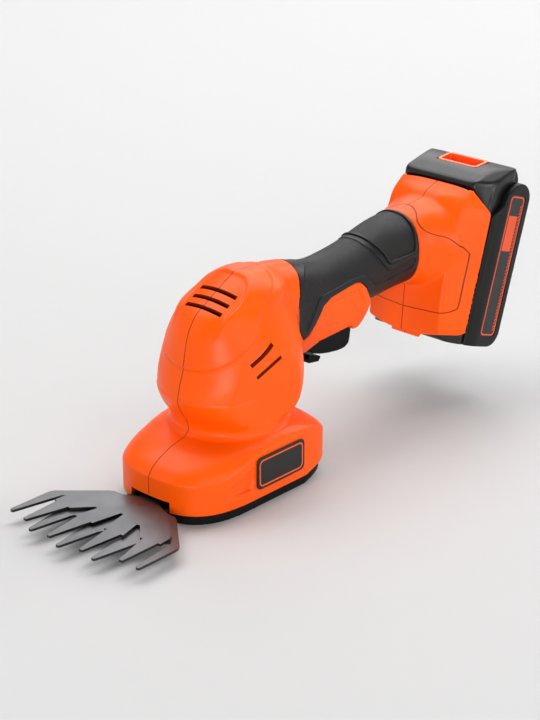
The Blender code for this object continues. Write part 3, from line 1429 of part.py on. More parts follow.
def battery_rear(hollow_side):
    """Rear shell of the pack with its raised sides, label recesses and end block."""
    half = BATTERY_HALF_WIDTH
    rear = plate("battery_case_rear", [battery_outline(0.0)], -half, half, "X")
    cut_by_plane(rear, (0, BATTERY_SPLIT + SEAT_GAP / 2, 0), (0, -1, 0))
    rear = settle(rounded(rear, 0.0015, 1, 50))
    end = plate(
        "end_block_form",
        [[(HOOD_REAR + SEAT_GAP, 0.0900), (HOOD_REAR + SEAT_GAP, 0.1026), (0.0335, 0.1018),
          (0.0380, 0.0990), (0.0408, 0.0950), (0.0420, 0.0900)]],
        -0.0340, 0.0340, "X",
    )
    end = settle(rounded(end, 0.0022, 2, 60))
    join(rear, end)
    hollow = plate("battery_hollow", [battery_outline(BATTERY_WALL)], -hollow_side, hollow_side, "X")
    notch = box("well_notch", (-WELL_BLOCK_HALF - SEAT_GAP, 0.0, BUTTON_WELL_FLOOR - 0.0022 - SEAT_GAP),
                (WELL_BLOCK_HALF + SEAT_GAP, HOOD_REAR + SEAT_GAP, 0.12))
    recesses = []
    for side in (1, -1):
        low, high = sorted((side * (half - LABEL_DEPTH), side * 0.06))
        outline = rounded_rectangle(LABEL_LOW, LABEL_HIGH, 0.0034)
        recesses.append(plate("label_recess_%d" % side, [outline], low, high, "X"))
    cut(rear, hollow, notch)
    rear = settle(rear)
    cut(rear, *recesses)
    return foot_framed(settle(rear, charcoal_abs()))


def battery_labels():
    """The bare labels in the recesses on the pack's sides."""
    low = (LABEL_LOW[0] + SEAT_GAP, LABEL_LOW[1] + SEAT_GAP)
    high = (LABEL_HIGH[0] - SEAT_GAP, LABEL_HIGH[1] - SEAT_GAP)
    base = BATTERY_HALF_WIDTH - LABEL_DEPTH + SEAT_GAP
    for name, side in (("battery_label_left", 1), ("battery_label_right", -1)):
        span = sorted((side * base, side * (base + 0.0005)))
        label = plate(name, [rounded_rectangle(low, high, 0.0031)], span[0], span[1], "X", black_nylon())
        foot_framed(label)


def battery():
    """The slide pack: two case halves, labels, cells, board and release button."""
    hollow_side = BATTERY_HALF_WIDTH - BATTERY_STEP - BATTERY_WALL
    battery_front(hollow_side)
    battery_rear(hollow_side)
    battery_labels()
    middle = (BATTERY_BOTTOM + BUTTON_WELL_FLOOR - 0.0005) / 2
    for i in range(CELL_COUNT):
        up = middle + (i - (CELL_COUNT - 1) / 2) * CELL_PITCH
        depth = BATTERY_DEPTH - BATTERY_WALL - CELL_RADIUS - SEAT_GAP
        foot_framed(rod("battery_cell_%d" % (i + 1), CELL_RADIUS, -CELL_LENGTH / 2, CELL_LENGTH / 2,
                        "X", (0, depth, up), 18, cell_wrap()))
    foot_framed(box("battery_board", (-0.027, 0.0026, 0.002), (0.027, 0.0042, 0.076), board_green()))
    button()


def button():
    """The release button: a cup pressed down into the pack's top, and its spring."""
    low = BUTTON_WELL_FLOOR + BUTTON_TRAVEL + 0.0008
    body = box("battery_release_button", (-0.0144, 0.0114, low), (0.0144, 0.0247, 0.1060), orange_abs())
    top = slotted_box("button_top", (0, 0.0180, 0.1210), (0.05, 0.06, 0.0420), math.radians(27.5))
    scoop = slotted_box("button_scoop", (0, 0.0188, 0.1010), (0.0236, 0.0105, 0.0130), math.radians(20))
    cut(body, top, scoop)
    foot_framed(settle(body, orange_abs()))
    foot_framed(coil("battery_button_spring", (0, 0.0180, BUTTON_WELL_FLOOR + SEAT_GAP),
                     low - BUTTON_WELL_FLOOR - 2 * SEAT_GAP, 0.0030, 2, 0.0003))


def fasteners():
    """The housing screws, entered from the right hand side."""
    for name, (along, up) in screw_places().items():
        screw = turned(
            name,
            [(0, 0.0068), (SCREW_HEAD_RADIUS, 0.0068), (SCREW_HEAD_RADIUS, 0.0050),
             (SCREW_RADIUS, 0.0050), (SCREW_RADIUS, -0.0085), (0, -0.0085)],
            zinc_steel(), SMALL_FACETS,
        )
        screw.rotation_euler = (0, -math.pi / 2, 0)
        screw.location = (-0.0023, along, up)


def blade_latch():
    """The release tab of the sole at the rear of the skirt, with its spring."""
    tab = plate(
        "sole_latch",
        [[(0.0972, 0.0035), (0.1098, 0.0065), (0.1102, 0.0070), (0.1102, 0.0108), (0.1070, 0.0101),
          (0.1070, 0.0122), (0.1010, 0.0122), (0.1010, 0.0088), (0.0972, 0.0080)]],
        -0.0070, 0.0070, "X", black_nylon(),
    )
    rounded(tab, 0.0005, 1, 40)
    coil("latch_spring", (0, 0.0932, 0.0057), 0.0970 - 0.0932, 0.0015, 3, 0.00025, "Y")


def side_plates():
    """A bare plate on each side of the skirt, lying on its curved face."""
    for name, side in (("side_plate_left", 1), ("side_plate_right", -1)):
        plate_body = loft(name, skirt_rings(-0.0013, 40), charcoal_abs())
        under = loft("under_" + name, skirt_rings(-SEAT_GAP, 40))
        low, high = sorted((side * 0.030, side * 0.050))
        window = plate("window_" + name, [rounded_rectangle((0.045, 0.012), (0.084, 0.031), 0.003)],
                       low, high, "X")
        combine(plate_body, window, "INTERSECT")
        cut(plate_body, under)


def place_origin():
    """Move everything so that the origin lies under the blade pivot."""
    bpy.context.view_layer.update()
    shift = Matrix.Translation((0, -PIVOT_Y, 0))
    for thing in list(parts.objects) + list(cutters.objects):
        if thing.parent is None:
            thing.matrix_world = shift @ thing.matrix_world
    bpy.context.view_layer.update()


def main():
    start()
    housing()
    soft_grip()
    sole()
    fixed_blade()
    moving_blade()
    blade_mounts()
    crank()
    compound_gear()
    gear_case()
    motor()
    trigger_group()
    lock_off()
    terminal_block()
    leads()
    battery()
    fasteners()
    blade_latch()
    side_plates()
    place_origin()


main()
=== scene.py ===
"""Looks of the cordless garden shear.

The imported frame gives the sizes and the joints. This script dresses it: finely modelled
skins for the housing, the soft grip, the trigger, the blades and the battery, and a
procedural finish for every piece. +Y runs from the blades to the battery, +X is the left
hand side as the user holds the tool, +Z is up. Tables of shape are in millimetres.
"""
import json
import logging
import math
from collections.abc import Iterator
from contextlib import contextmanager
from dataclasses import dataclass, field
from enum import Enum

import bmesh
import bpy
import numpy as np
from mathutils import Matrix, Vector


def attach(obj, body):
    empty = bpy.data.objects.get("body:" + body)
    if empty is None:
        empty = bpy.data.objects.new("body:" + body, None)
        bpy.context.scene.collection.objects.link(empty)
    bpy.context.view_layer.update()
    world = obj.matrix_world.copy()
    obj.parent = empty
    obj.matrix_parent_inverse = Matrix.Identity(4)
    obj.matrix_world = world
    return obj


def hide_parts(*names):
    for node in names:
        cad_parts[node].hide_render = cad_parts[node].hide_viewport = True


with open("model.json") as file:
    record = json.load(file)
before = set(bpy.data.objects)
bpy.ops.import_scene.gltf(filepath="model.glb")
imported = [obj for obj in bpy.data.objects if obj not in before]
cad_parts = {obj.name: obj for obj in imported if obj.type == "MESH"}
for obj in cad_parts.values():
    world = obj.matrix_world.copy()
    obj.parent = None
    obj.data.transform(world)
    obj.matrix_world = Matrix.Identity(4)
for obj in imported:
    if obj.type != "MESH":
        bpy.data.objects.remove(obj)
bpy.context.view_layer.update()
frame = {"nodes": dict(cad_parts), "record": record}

log = logging.getLogger("garden_shear")
MM = 0.001
Points = np.ndarray
Thing = bpy.types.Object
Tree = bpy.types.NodeTree
Socket = bpy.types.NodeSocket
# What a moulded line multiplies the colour by: the shadow in its bottom
GROOVE_SHADE = (0.30, 0.26, 0.25, 1.0)
# Each side of a moulded step over which the shader eases it
STEP_EASE_MM = 0.3


# Colours and node trees


def linear(hex_colour: str) -> tuple[float, float, float, float]:
    """Turn an sRGB hex colour into linear light.

    Args:
        hex_colour: six hex digits, with or without the hash.

    Returns:
        Red, green, blue and an alpha of one.
    """
    digits = hex_colour.lstrip("#")
    values = [int(digits[i : i + 2], 16) / 255 for i in (0, 2, 4)]
    light = [v / 12.92 if v <= 0.04045 else ((v + 0.055) / 1.055) ** 2.4 for v in values]
    return (light[0], light[1], light[2], 1.0)


def add_node(
    tree: Tree,
    kind: str,
    settings: dict | None = None,
    inputs: dict | None = None,
) -> bpy.types.Node:
    """Add a node, set its properties and set or link its inputs.

    Args:
        tree: the node tree to add to.
        kind: Blender's name of the shader node type, without its first two words.
        settings: property names and values.
        inputs: input names or numbers, with a value or the socket to link from.

    Returns:
        The new node.
    """
    node = tree.nodes.new("ShaderNode" + kind)
    for key, value in (settings or {}).items():
        setattr(node, key, value)
    for key, value in (inputs or {}).items():
        if isinstance(value, Socket):
            tree.links.new(value, node.inputs[key])
        else:
            node.inputs[key].default_value = value
    return node


class Seam(Enum):
    """Where a moulding's parting line lies."""

    NONE = "none"
    MIDDLE = "middle"


@dataclass(frozen=True)
class Finish:
    """What every finish shares: a plain Principled surface with a fine grain.

    Attributes:
        name: the material's everyday name.
        colour: sRGB hex of the surface.
        shade: sRGB hex that the colour drifts towards in soft patches.
        roughness: middle of the roughness range.
        grain_mm: size of the surface grain.
        grain_depth_mm: height of the grain.
        patch_mm: size of the soft patches.
        metallic: one for a metal.
        ior: index of refraction, kept at the shader's own for a metal.
        specular: strength of the mirror part against what the index gives.
        grooves: point attributes that hold the distance to a moulded line.
        groove_half_mm: half the width of a moulded line.
        groove_depth_mm: its depth.
        seam: where the parting line lies.
        steps: point attributes that hold the distance to a moulded step, positive on its low side.
        step_mm: height that the shader adds to each step, to keep its edge crisp.
    """

    name: str
    colour: str
    shade: str
    roughness: float
    grain_mm: float = 0.8
    grain_depth_mm: float = 0.006
    patch_mm: float = 35.0
    metallic: float = 0.0
    ior: float = 1.5
    specular: float = 0.5
    grooves: tuple[str, ...] = ()
    groove_half_mm: float = 0.22
    groove_depth_mm: float = 0.35
    seam: Seam = Seam.NONE
    steps: tuple[str, ...] = ()
    step_mm: float = 0.5

    def material(self) -> bpy.types.Material:
        """Build the material once and hand it out after that.

        Returns:
            The material.
        """
        made = bpy.data.materials.get(self.name)
        if made:
            return made
        made = bpy.data.materials.new(self.name)
        made.use_nodes = True
        made.diffuse_color = linear(self.colour)
        tree = made.node_tree
        shader = tree.nodes["Principled BSDF"]
        shader.inputs["Metallic"].default_value = self.metallic
        if self.metallic < 0.5:
            shader.inputs["IOR"].default_value = self.ior
            shader.inputs["Specular IOR Level"].default_value = self.specular
        place = add_node(tree, "TexCoord").outputs["Object"]
        colour = self.paint(tree, place)
        rough = self.polish(tree, place)
        relief = self.step_relief(tree, self.relief(tree, place))
        mask = self.groove_mask(tree, place)
        if mask is not None:
            dark = add_node(
                tree, "Mix", {"data_type": "RGBA", "blend_type": "MULTIPLY"},
                {0: mask, 6: colour, 7: GROOVE_SHADE},
            )
            colour = dark.outputs[2]
            sunk = add_node(tree, "Math", {"operation": "MULTIPLY"}, {0: mask, 1: -1.0})
            relief = add_node(
                tree, "Bump", {},
                {"Strength": 1.0, "Distance": self.groove_depth_mm * MM,
                 "Height": sunk.outputs[0], "Normal": relief},
            ).outputs["Normal"]
        tree.links.new(colour, shader.inputs["Base Color"])
        tree.links.new(rough, shader.inputs["Roughness"])
        tree.links.new(relief, shader.inputs["Normal"])
        self.extras(tree, shader, place)
        return made

    def paint(self, tree: Tree, place: Socket) -> Socket:
        """Colour that drifts softly between the two tones.

        Args:
            tree: the material's node tree.
            place: the object's own coordinates.

        Returns:
            The colour.
        """
        drift = add_node(
            tree, "TexNoise", {},
            {"Vector": place, "Scale": 1000 / self.patch_mm, "Detail": 3.0, "Roughness": 0.45},
        )
        share = add_node(
            tree, "MapRange", {},
            {"Value": drift.outputs[0], "From Min": 0.35, "From Max": 0.70},
        )
        mix = add_node(
            tree, "Mix", {"data_type": "RGBA"},
            {0: share.outputs[0], 6: linear(self.colour), 7: linear(self.shade)},
        )
        return mix.outputs[2]

    def polish(self, tree: Tree, place: Socket) -> Socket:
        """Roughness that wanders a little, as handling and tool marks leave it.

        Args:
            tree: the material's node tree.
            place: the object's own coordinates.

        Returns:
            The roughness.
        """
        marks = add_node(
            tree, "TexNoise", {},
            {"Vector": place, "Scale": 2600 / self.patch_mm, "Detail": 4.0, "Roughness": 0.6},
        )
        spread = add_node(
            tree, "MapRange", {},
            {"Value": marks.outputs[0], "From Min": 0.3, "From Max": 0.7,
             "To Min": self.roughness - 0.05, "To Max": self.roughness + 0.06},
        )
        return spread.outputs[0]

    def relief(self, tree: Tree, place: Socket) -> Socket:
        """The fine grain that the mould leaves, as a bump.

        Args:
            tree: the material's node tree.
            place: the object's own coordinates.

        Returns:
            The normal.
        """
        grain = add_node(
            tree, "TexNoise", {},
            {"Vector": place, "Scale": 1000 / self.grain_mm, "Detail": 2.0, "Roughness": 0.6},
        )
        bump = add_node(
            tree, "Bump", {},
            {"Strength": 1.0, "Distance": self.grain_depth_mm * MM, "Height": grain.outputs[0]},
        )
        return bump.outputs["Normal"]

    def step_relief(self, tree: Tree, relief: Socket) -> Socket:
        """Crisp edges for the steps that the mesh already has, finer than its points stand.

        Args:
            tree: the material's node tree.
            relief: the normal so far.

        Returns:
            The normal with the steps.
        """
        for name in self.steps:
            distance = add_node(tree, "Attribute", {"attribute_name": name})
            height = add_node(
                tree, "MapRange", {"interpolation_type": "SMOOTHSTEP"},
                {"Value": distance.outputs["Fac"], "From Min": -STEP_EASE_MM * MM,
                 "From Max": STEP_EASE_MM * MM, "To Min": 1.0, "To Max": 0.0},
            )
            relief = add_node(
                tree, "Bump", {},
                {"Strength": 1.0, "Distance": self.step_mm * MM, "Height": height.outputs[0],
                 "Normal": relief},
            ).outputs["Normal"]
        return relief

    def groove_mask(self, tree: Tree, place: Socket) -> Socket | None:
        """One along the moulded lines and zero elsewhere, or None without lines.

        Args:
            tree: the material's node tree.
            place: the object's own coordinates.

        Returns:
            The mask.
        """
        distances = [
            add_node(tree, "Attribute", {"attribute_name": name}).outputs["Fac"]
            for name in self.grooves
        ]
        if self.seam is Seam.MIDDLE:
            across = add_node(tree, "SeparateXYZ", {}, {0: place})
            distances.append(across.outputs["X"])
        mask = None
        for distance in distances:
            size = add_node(tree, "Math", {"operation": "ABSOLUTE"}, {0: distance})
            line = add_node(
                tree, "MapRange", {"interpolation_type": "SMOOTHSTEP"},
                {"Value": size.outputs[0], "From Min": 0.35 * self.groove_half_mm * MM,
                 "From Max": 1.8 * self.groove_half_mm * MM, "To Min": 1.0, "To Max": 0.0},
            ).outputs[0]
            if mask is None:
                mask = line
            else:
                mask = add_node(
                    tree, "Math", {"operation": "MAXIMUM"}, {0: mask, 1: line}
                ).outputs[0]
        return mask

    def extras(self, tree: Tree, shader: bpy.types.Node, place: Socket) -> None:
        """Room for what one kind of finish adds to the rest."""


@dataclass(frozen=True)
class MouldedPlastic(Finish):
    """Injection moulded plastic: an even satin skin with a faint spark-eroded grain."""

    def extras(self, tree: Tree, shader: bpy.types.Node, place: Socket) -> None:
        """A thin glossy skin, as the melt leaves it against the polished tool."""
        shader.inputs["Coat Weight"].default_value = 0.05
        shader.inputs["Coat Roughness"].default_value = 0.22


@dataclass(frozen=True)
class DottedRubber(Finish):
    """Thermoplastic elastomer moulded over the handle, with a field of fine dots.

    The real dots stand about 0.8 mm apart. They are drawn 1.0 mm apart, so that they
    show in the render.
    """

    dot_pitch_mm: float = 1.0
    dot_height_mm: float = 0.22

    def relief(self, tree: Tree, place: Socket) -> Socket:
        """Round dots in rows inside the pads, and a plain grain outside.

        Args:
            tree: the material's node tree.
            place: the object's own coordinates.

        Returns:
            The normal.
        """
        unrolled = add_node(tree, "Attribute", {"attribute_name": "unrolled"})
        lattice = add_node(
            tree, "TexVoronoi", {"voronoi_dimensions": "2D"},
            {"Vector": unrolled.outputs["Vector"], "Scale": 1000 / self.dot_pitch_mm,
             "Randomness": 0.0},
        )
        dot = add_node(
            tree, "MapRange", {"interpolation_type": "SMOOTHSTEP"},
            {"Value": lattice.outputs["Distance"], "From Min": 0.18, "From Max": 0.46,
             "To Min": 1.0, "To Max": 0.0},
        )
        pad = add_node(tree, "Attribute", {"attribute_name": "pad"})
        inside = add_node(
            tree, "MapRange", {},
            {"Value": pad.outputs["Fac"], "From Min": -0.4 * MM, "From Max": 0.0,
             "To Min": 1.0, "To Max": 0.0},
        )
        field_of_dots = add_node(
            tree, "Math", {"operation": "MULTIPLY"},
            {0: dot.outputs[0], 1: inside.outputs[0]},
        )
        plain = super().relief(tree, place)
        bump = add_node(
            tree, "Bump", {},
            {"Strength": 1.0, "Distance": self.dot_height_mm * MM,
             "Height": field_of_dots.outputs[0], "Normal": plain},
        )
        return bump.outputs["Normal"]


@dataclass(frozen=True)
class LinedPlate(MouldedPlastic):
    """A moulded plate with one thin inlaid line that runs round inside its edge."""

    line_colour: str = "#F25A1E"
    line_half_mm: float = 0.42

    def paint(self, tree: Tree, place: Socket) -> Socket:
        """The plate's own colour with the line laid over it.

        Args:
            tree: the material's node tree.
            place: the object's own coordinates.

        Returns:
            The colour.
        """
        plain = super().paint(tree, place)
        distance = add_node(tree, "Attribute", {"attribute_name": "frame_line"})
        size = add_node(
            tree, "Math", {"operation": "ABSOLUTE"}, {0: distance.outputs["Fac"]}
        )
        inside = add_node(
            tree, "MapRange", {"interpolation_type": "SMOOTHSTEP"},
            {"Value": size.outputs[0], "From Min": 0.8 * self.line_half_mm * MM,
             "From Max": 1.25 * self.line_half_mm * MM, "To Min": 1.0, "To Max": 0.0},
        )
        mix = add_node(
            tree, "Mix", {"data_type": "RGBA"},
            {0: inside.outputs[0], 6: plain, 7: linear(self.line_colour)},
        )
        return mix.outputs[2]


@dataclass(frozen=True)
class GroundSteel(Finish):
    """Steel sheet ground on a belt: fine streaks that run one way.

    The sheared edges, where the sheet stands upright, are painted darker and duller: painted shade
    on the blade's flanks.
    """

    metallic: float = 1.0
    streak_mm: float = 0.25
    streak_length_mm: float = 18.0
    along: str = "X"
    edge_shade_colour: str = ""

    def paint(self, tree: Tree, place: Socket) -> Socket:
        """The ground faces, and painted shade on the sheared edges where the sheet stands upright.

        Args:
            tree: the material's node tree.
            place: the object's own coordinates.

        Returns:
            The colour.
        """
        faces = super().paint(tree, place)
        if not self.edge_shade_colour:
            return faces
        # Faces that stand upright get the darker colour: painted shade on the blade's flanks
        turn = add_node(tree, "TexCoord").outputs["Normal"]
        upright = add_node(tree, "SeparateXYZ", {}, {0: turn})
        size = add_node(
            tree, "Math", {"operation": "ABSOLUTE"}, {0: upright.outputs["Z"]}
        )
        flat = add_node(
            tree, "MapRange", {},
            {"Value": size.outputs[0], "From Min": 0.25, "From Max": 0.6},
        )
        mix = add_node(
            tree, "Mix", {"data_type": "RGBA"},
            {0: flat.outputs[0], 6: linear(self.edge_shade_colour), 7: faces},
        )
        return mix.outputs[2]

    def relief(self, tree: Tree, place: Socket) -> Socket:
        """Noise drawn out along the grinding direction.

        Args:
            tree: the material's node tree.
            place: the object's own coordinates.

        Returns:
            The normal.
        """
        fine = 1000 / self.streak_mm
        long = 1000 / self.streak_length_mm
        scale = tuple(long if axis == self.along else fine for axis in "XYZ")
        stretched = add_node(
            tree, "VectorMath", {"operation": "MULTIPLY"}, {0: place, 1: scale}
        )
        streaks = add_node(
            tree, "TexNoise", {},
            {"Vector": stretched.outputs[0], "Scale": 1.0, "Detail": 3.0, "Roughness": 0.55},
        )
        bump = add_node(
            tree, "Bump", {},
            {"Strength": 1.0, "Distance": self.grain_depth_mm * MM, "Height": streaks.outputs[0]},
        )
        return bump.outputs["Normal"]


@dataclass(frozen=True)
class Finishes:
    """Every finish of the tool."""

    # ABS, injection moulded: bright and even, with a satin skin and a fine grain
    housing: Finish = MouldedPlastic(
        "orange_moulded_abs", "#FF5B00", "#FB5600", 0.38, grain_mm=0.55, grain_depth_mm=0.010,
        ior=1.54, specular=0.17, grooves=("foot_line",), seam=Seam.MIDDLE,
        steps=("shield", "panel_field", "recess"), step_mm=0.35,
    )
    # The same ABS on the battery's release button
    button: Finish = MouldedPlastic(
        "orange_moulded_abs_button", "#FF5200", "#F84C00", 0.36, grain_mm=0.5, ior=1.54,
        specular=0.2,
    )
    # The button's rim, with a painted highlight along its rounded top: lighter, smoother and with
    # less texture
    rim: Finish = MouldedPlastic(
        "orange_abs_painted_highlight_rim", "#FF8450", "#FF7C46", 0.30, grain_mm=1.0, grain_depth_mm=0.002,
        ior=1.54, specular=0.3,
    )
    # Glass-filled nylon, injection moulded: near black and dry, a little uneven
    black: Finish = MouldedPlastic(
        "black_glass_filled_nylon", "#0D0D0E", "#0A0A0B", 0.40, grain_mm=0.5,
        grain_depth_mm=0.012, ior=1.53, specular=0.07,
    )
    # Nylon of the sole, which scuffs on stones: rougher and a little greyer
    sole: Finish = MouldedPlastic(
        "black_nylon_sole", "#0C0C0D", "#121213", 0.50, grain_mm=0.6, grain_depth_mm=0.02,
        patch_mm=9.0, ior=1.53, specular=0.10,
    )
    # Thermoplastic elastomer, moulded over the handle: matt, soft and dotted
    grip: Finish = DottedRubber(
        "black_elastomer_overmould", "#0F0F10", "#0D0D0E", 0.44, grain_mm=0.45, ior=1.5,
        specular=0.34,
        grooves=("rib_outer", "rib_inner", "front_band"), groove_half_mm=0.24,
        steps=("rib", "plain_band"), step_mm=0.45,
    )
    # ABS of the side plates: fine texture, near black, with an inlaid line
    badge: Finish = LinedPlate(
        "black_abs_side_plate", "#191919", "#141414", 0.38, grain_mm=0.5, grain_depth_mm=0.008,
        ior=1.54, specular=0.3,
    )
    # ABS of the battery case: charcoal with a fine satin texture
    case: Finish = MouldedPlastic(
        "charcoal_moulded_abs", "#161617", "#131314", 0.38, grain_mm=0.5, grain_depth_mm=0.010,
        ior=1.54, specular=0.16,
    )
    # The same nylon on the pack's hood, polished by hands: smoother than the rest
    hood: Finish = MouldedPlastic(
        "black_nylon_hood", "#101011", "#0D0D0E", 0.34, grain_mm=0.5, grain_depth_mm=0.008,
        ior=1.53, specular=0.4,
    )
    # Polyester label film with a matt varnish
    film: Finish = MouldedPlastic(
        "matt_label_film", "#232324", "#1E1E1F", 0.42, grain_mm=0.9, grain_depth_mm=0.004,
        ior=1.57, specular=0.3,
    )
    # Screen printed ink: flat and thick, so it stands a little proud
    ink: Finish = MouldedPlastic(
        "orange_screen_ink", "#E8562A", "#E04E22", 0.48, grain_mm=0.4, grain_depth_mm=0.006,
        ior=1.5, specular=0.3,
    )
    # Tool steel sheet, stamped and belt ground: grey, satin, streaked across the blade, with
    # painted shade on its upright edges
    blade: Finish = GroundSteel(
        "ground_tool_steel", "#68686A", "#5C5C5E", 0.34, grain_depth_mm=0.010, patch_mm=25.0,
        edge_shade_colour="#454444",
    )
    # Zinc plated steel of bolts, screws, springs and the motor can
    zinc: Finish = GroundSteel(
        "zinc_plated_steel", "#B9BABC", "#A5A6A9", 0.30, grain_depth_mm=0.004, streak_mm=0.4,
        streak_length_mm=3.0, along="Z",
    )
    # Sintered steel of gears: porous, dark with oil
    sintered: Finish = Finish(
        "sintered_gear_steel", "#6E6C69", "#57544F", 0.48, grain_mm=0.25, grain_depth_mm=0.02,
        patch_mm=5.0, metallic=1.0,
    )
    # Brass of the pinion, hobbed
    brass: Finish = GroundSteel(
        "hobbed_brass", "#D9B45A", "#C79F45", 0.30, grain_depth_mm=0.006, along="Z",
        streak_mm=0.15, streak_length_mm=4.0,
    )
    # PVC sleeve of the leads, extruded: smooth and glossy
    red_lead: Finish = MouldedPlastic(
        "red_pvc_sleeve", "#B01818", "#981212", 0.30, grain_mm=2.0, ior=1.53
    )
    black_lead: Finish = MouldedPlastic(
        "black_pvc_sleeve", "#1B1B1C", "#242425", 0.30, grain_mm=2.0, ior=1.53
    )
    # Heat-shrunk film on the cells: glossy with slight ripples
    cell: Finish = MouldedPlastic(
        "blue_shrink_film", "#1F5E8F", "#1A5480", 0.22, grain_mm=4.0, grain_depth_mm=0.03, ior=1.57
    )
    # Solder mask on glass-epoxy board
    board: Finish = MouldedPlastic(
        "green_solder_mask", "#1E6B3A", "#19592F", 0.28, grain_mm=1.2, grain_depth_mm=0.01, ior=1.55
    )


# Shapes


def smooth_through(stations: Points, steps: int) -> Points:
    """Run a smooth curve through rows of values.

    Args:
        stations: one row for each station.
        steps: rows to make between two stations.

    Returns:
        The denser rows, first and last kept.
    """
    padded = np.vstack([2 * stations[0] - stations[1], stations, 2 * stations[-1] - stations[-2]])
    rows = []
    for i in range(1, len(padded) - 2):
        before, here, there, after = padded[i - 1 : i + 3]
        for t in np.linspace(0, 1, steps, endpoint=False):
            bend = (2 * before - 5 * here + 4 * there - after) * t**2
            twist = (3 * here - before - 3 * there + after) * t**3
            rows.append(0.5 * (2 * here + (there - before) * t + bend + twist))
    rows.append(stations[-1])
    return np.array(rows)


def table(*rows: tuple[float, ...]) -> Points:
    """A dataclass field that holds rows of numbers."""
    return field(default_factory=lambda: np.array(rows))


def swollen(wave: Points, power: float | Points) -> Points:
    """A sine or cosine swollen towards a square wave, which makes an oval fuller."""
    return np.sign(wave) * np.abs(wave) ** (2 / power)


def plan_oval(front: float, rear: float, half: float, widest: float, front_power: float,
              rear_power: float, count: int = 160) -> Points:
    """A plan outline whose front and rear have their own reach and fullness.

    Args:
        front: lowest y.
        rear: highest y.
        half: half width.
        widest: y of the widest place.
        front_power: fullness in front of it, two for an ellipse.
        rear_power: fullness behind it.
        count: number of points.

    Returns:
        Points of x and y, anticlockwise.
    """
    angles = np.linspace(0, 2 * math.pi, count, endpoint=False)
    across, along = np.cos(angles), np.sin(angles)
    power = np.where(along > 0, rear_power, front_power)
    reach = np.where(along > 0, rear - widest, widest - front)
    return np.column_stack([half * swollen(across, power), widest + reach * swollen(along, power)])


def section_oval(y: float, half: float, low: float, high: float, power: float,
                 count: int = 120) -> Points:
    """An upright cross section at a station.

    Args:
        y: the station.
        half: half width.
        low: lowest z.
        high: highest z.
        power: fullness, two for an ellipse.
        count: number of points.

    Returns:
        Points of x, y and z.
    """
    angles = np.linspace(0, 2 * math.pi, count, endpoint=False)
    x = half * swollen(np.cos(angles), power)
    z = (low + high) / 2 + (high - low) / 2 * swollen(np.sin(angles), power)
    return np.column_stack([x, np.full(count, y), z])


def level_ring(outline: Points, z: float | Points) -> Points:
    """Lay a plan outline at a height."""
    return np.column_stack([outline, np.full(len(outline), z)])


def new_object(name: str, mesh: bpy.types.Mesh) -> Thing:
    """Put a mesh in the scene under a name.

    Args:
        name: the object's name.
        mesh: its mesh.

    Returns:
        The object.
    """
    made = bpy.data.objects.new(name, mesh)
    bpy.context.scene.collection.objects.link(made)
    return made


def object_from(name: str, shape: bmesh.types.BMesh) -> Thing:
    """Turn an open mesh into an object, and free it.

    Args:
        name: the object's name.
        shape: the open mesh.

    Returns:
        The object.
    """
    mesh = bpy.data.meshes.new(name)
    shape.to_mesh(mesh)
    shape.free()
    return new_object(name, mesh)


@contextmanager
def edited(mesh: bpy.types.Mesh) -> Iterator[bmesh.types.BMesh]:
    """Open a mesh for changes, and write them back at the end.

    Args:
        mesh: the mesh.

    Returns:
        The open mesh.
    """
    shape = bmesh.new()
    shape.from_mesh(mesh)
    yield shape
    shape.to_mesh(mesh)
    shape.free()


def join_rings(shape: bmesh.types.BMesh, rings: list[list[bmesh.types.BMVert]]) -> None:
    """Lay faces of four corners between rings of equal count.

    Args:
        shape: the open mesh.
        rings: its points, ring by ring.
    """
    for low, high in zip(rings, rings[1:]):
        for i in range(len(low)):
            j = (i + 1) % len(low)
            shape.faces.new((low[i], low[j], high[j], high[i]))


def loft(name: str, rings: list[Points]) -> Thing:
    """Skin a closed body over rings.

    Args:
        name: name of the body.
        rings: rings of equal count, in millimetres.

    Returns:
        The body.
    """
    shape = bmesh.new()
    rows = [[shape.verts.new(point * MM) for point in ring] for ring in rings]
    join_rings(shape, rows)
    shape.faces.new(list(reversed(rows[0])))
    shape.faces.new(rows[-1])
    bmesh.ops.recalc_face_normals(shape, faces=shape.faces)
    return object_from(name, shape)


def slab(name: str, outline: Points, low: float, high: float, axis: str = "X") -> Thing:
    """Carry a flat outline along an axis.

    Args:
        name: name of the body.
        outline: corners in the plane across the axis, in millimetres.
        low: station of one end, in millimetres.
        high: station of the other end.
        axis: X, Y or Z.

    Returns:
        The body.
    """
    shape = bmesh.new()
    rows = []
    for station in (low, high):
        corners = [
            {"X": (station, a, b), "Y": (a, station, b), "Z": (a, b, station)}[axis]
            for a, b in outline
        ]
        rows.append([shape.verts.new(Vector(corner) * MM) for corner in corners])
    join_rings(shape, rows)
    for ring in rows:
        shape.faces.new(ring)
    bmesh.ops.triangulate(shape, faces=[f for f in shape.faces if len(f.verts) > 4])
    bmesh.ops.recalc_face_normals(shape, faces=shape.faces)
    return object_from(name, shape)


def block(name: str, low: tuple, high: tuple) -> Thing:
    """A plain block between two corners, in millimetres."""
    outline = np.array([(low[0], low[1]), (high[0], low[1]), (high[0], high[1]), (low[0], high[1])])
    return slab(name, outline, low[2], high[2], "Z")


def leaned(x: float, y: float, z: float, degrees: float) -> Matrix:
    """A place in millimetres, leaned about the X axis."""
    return Matrix.Translation((x * MM, y * MM, z * MM)) @ Matrix.Rotation(
        math.radians(degrees), 4, "X")


def turned(thing: Thing, place: Matrix) -> Thing:
    """Move a mesh by a matrix, so that its object stays at the origin."""
    thing.data.transform(place)
    return thing


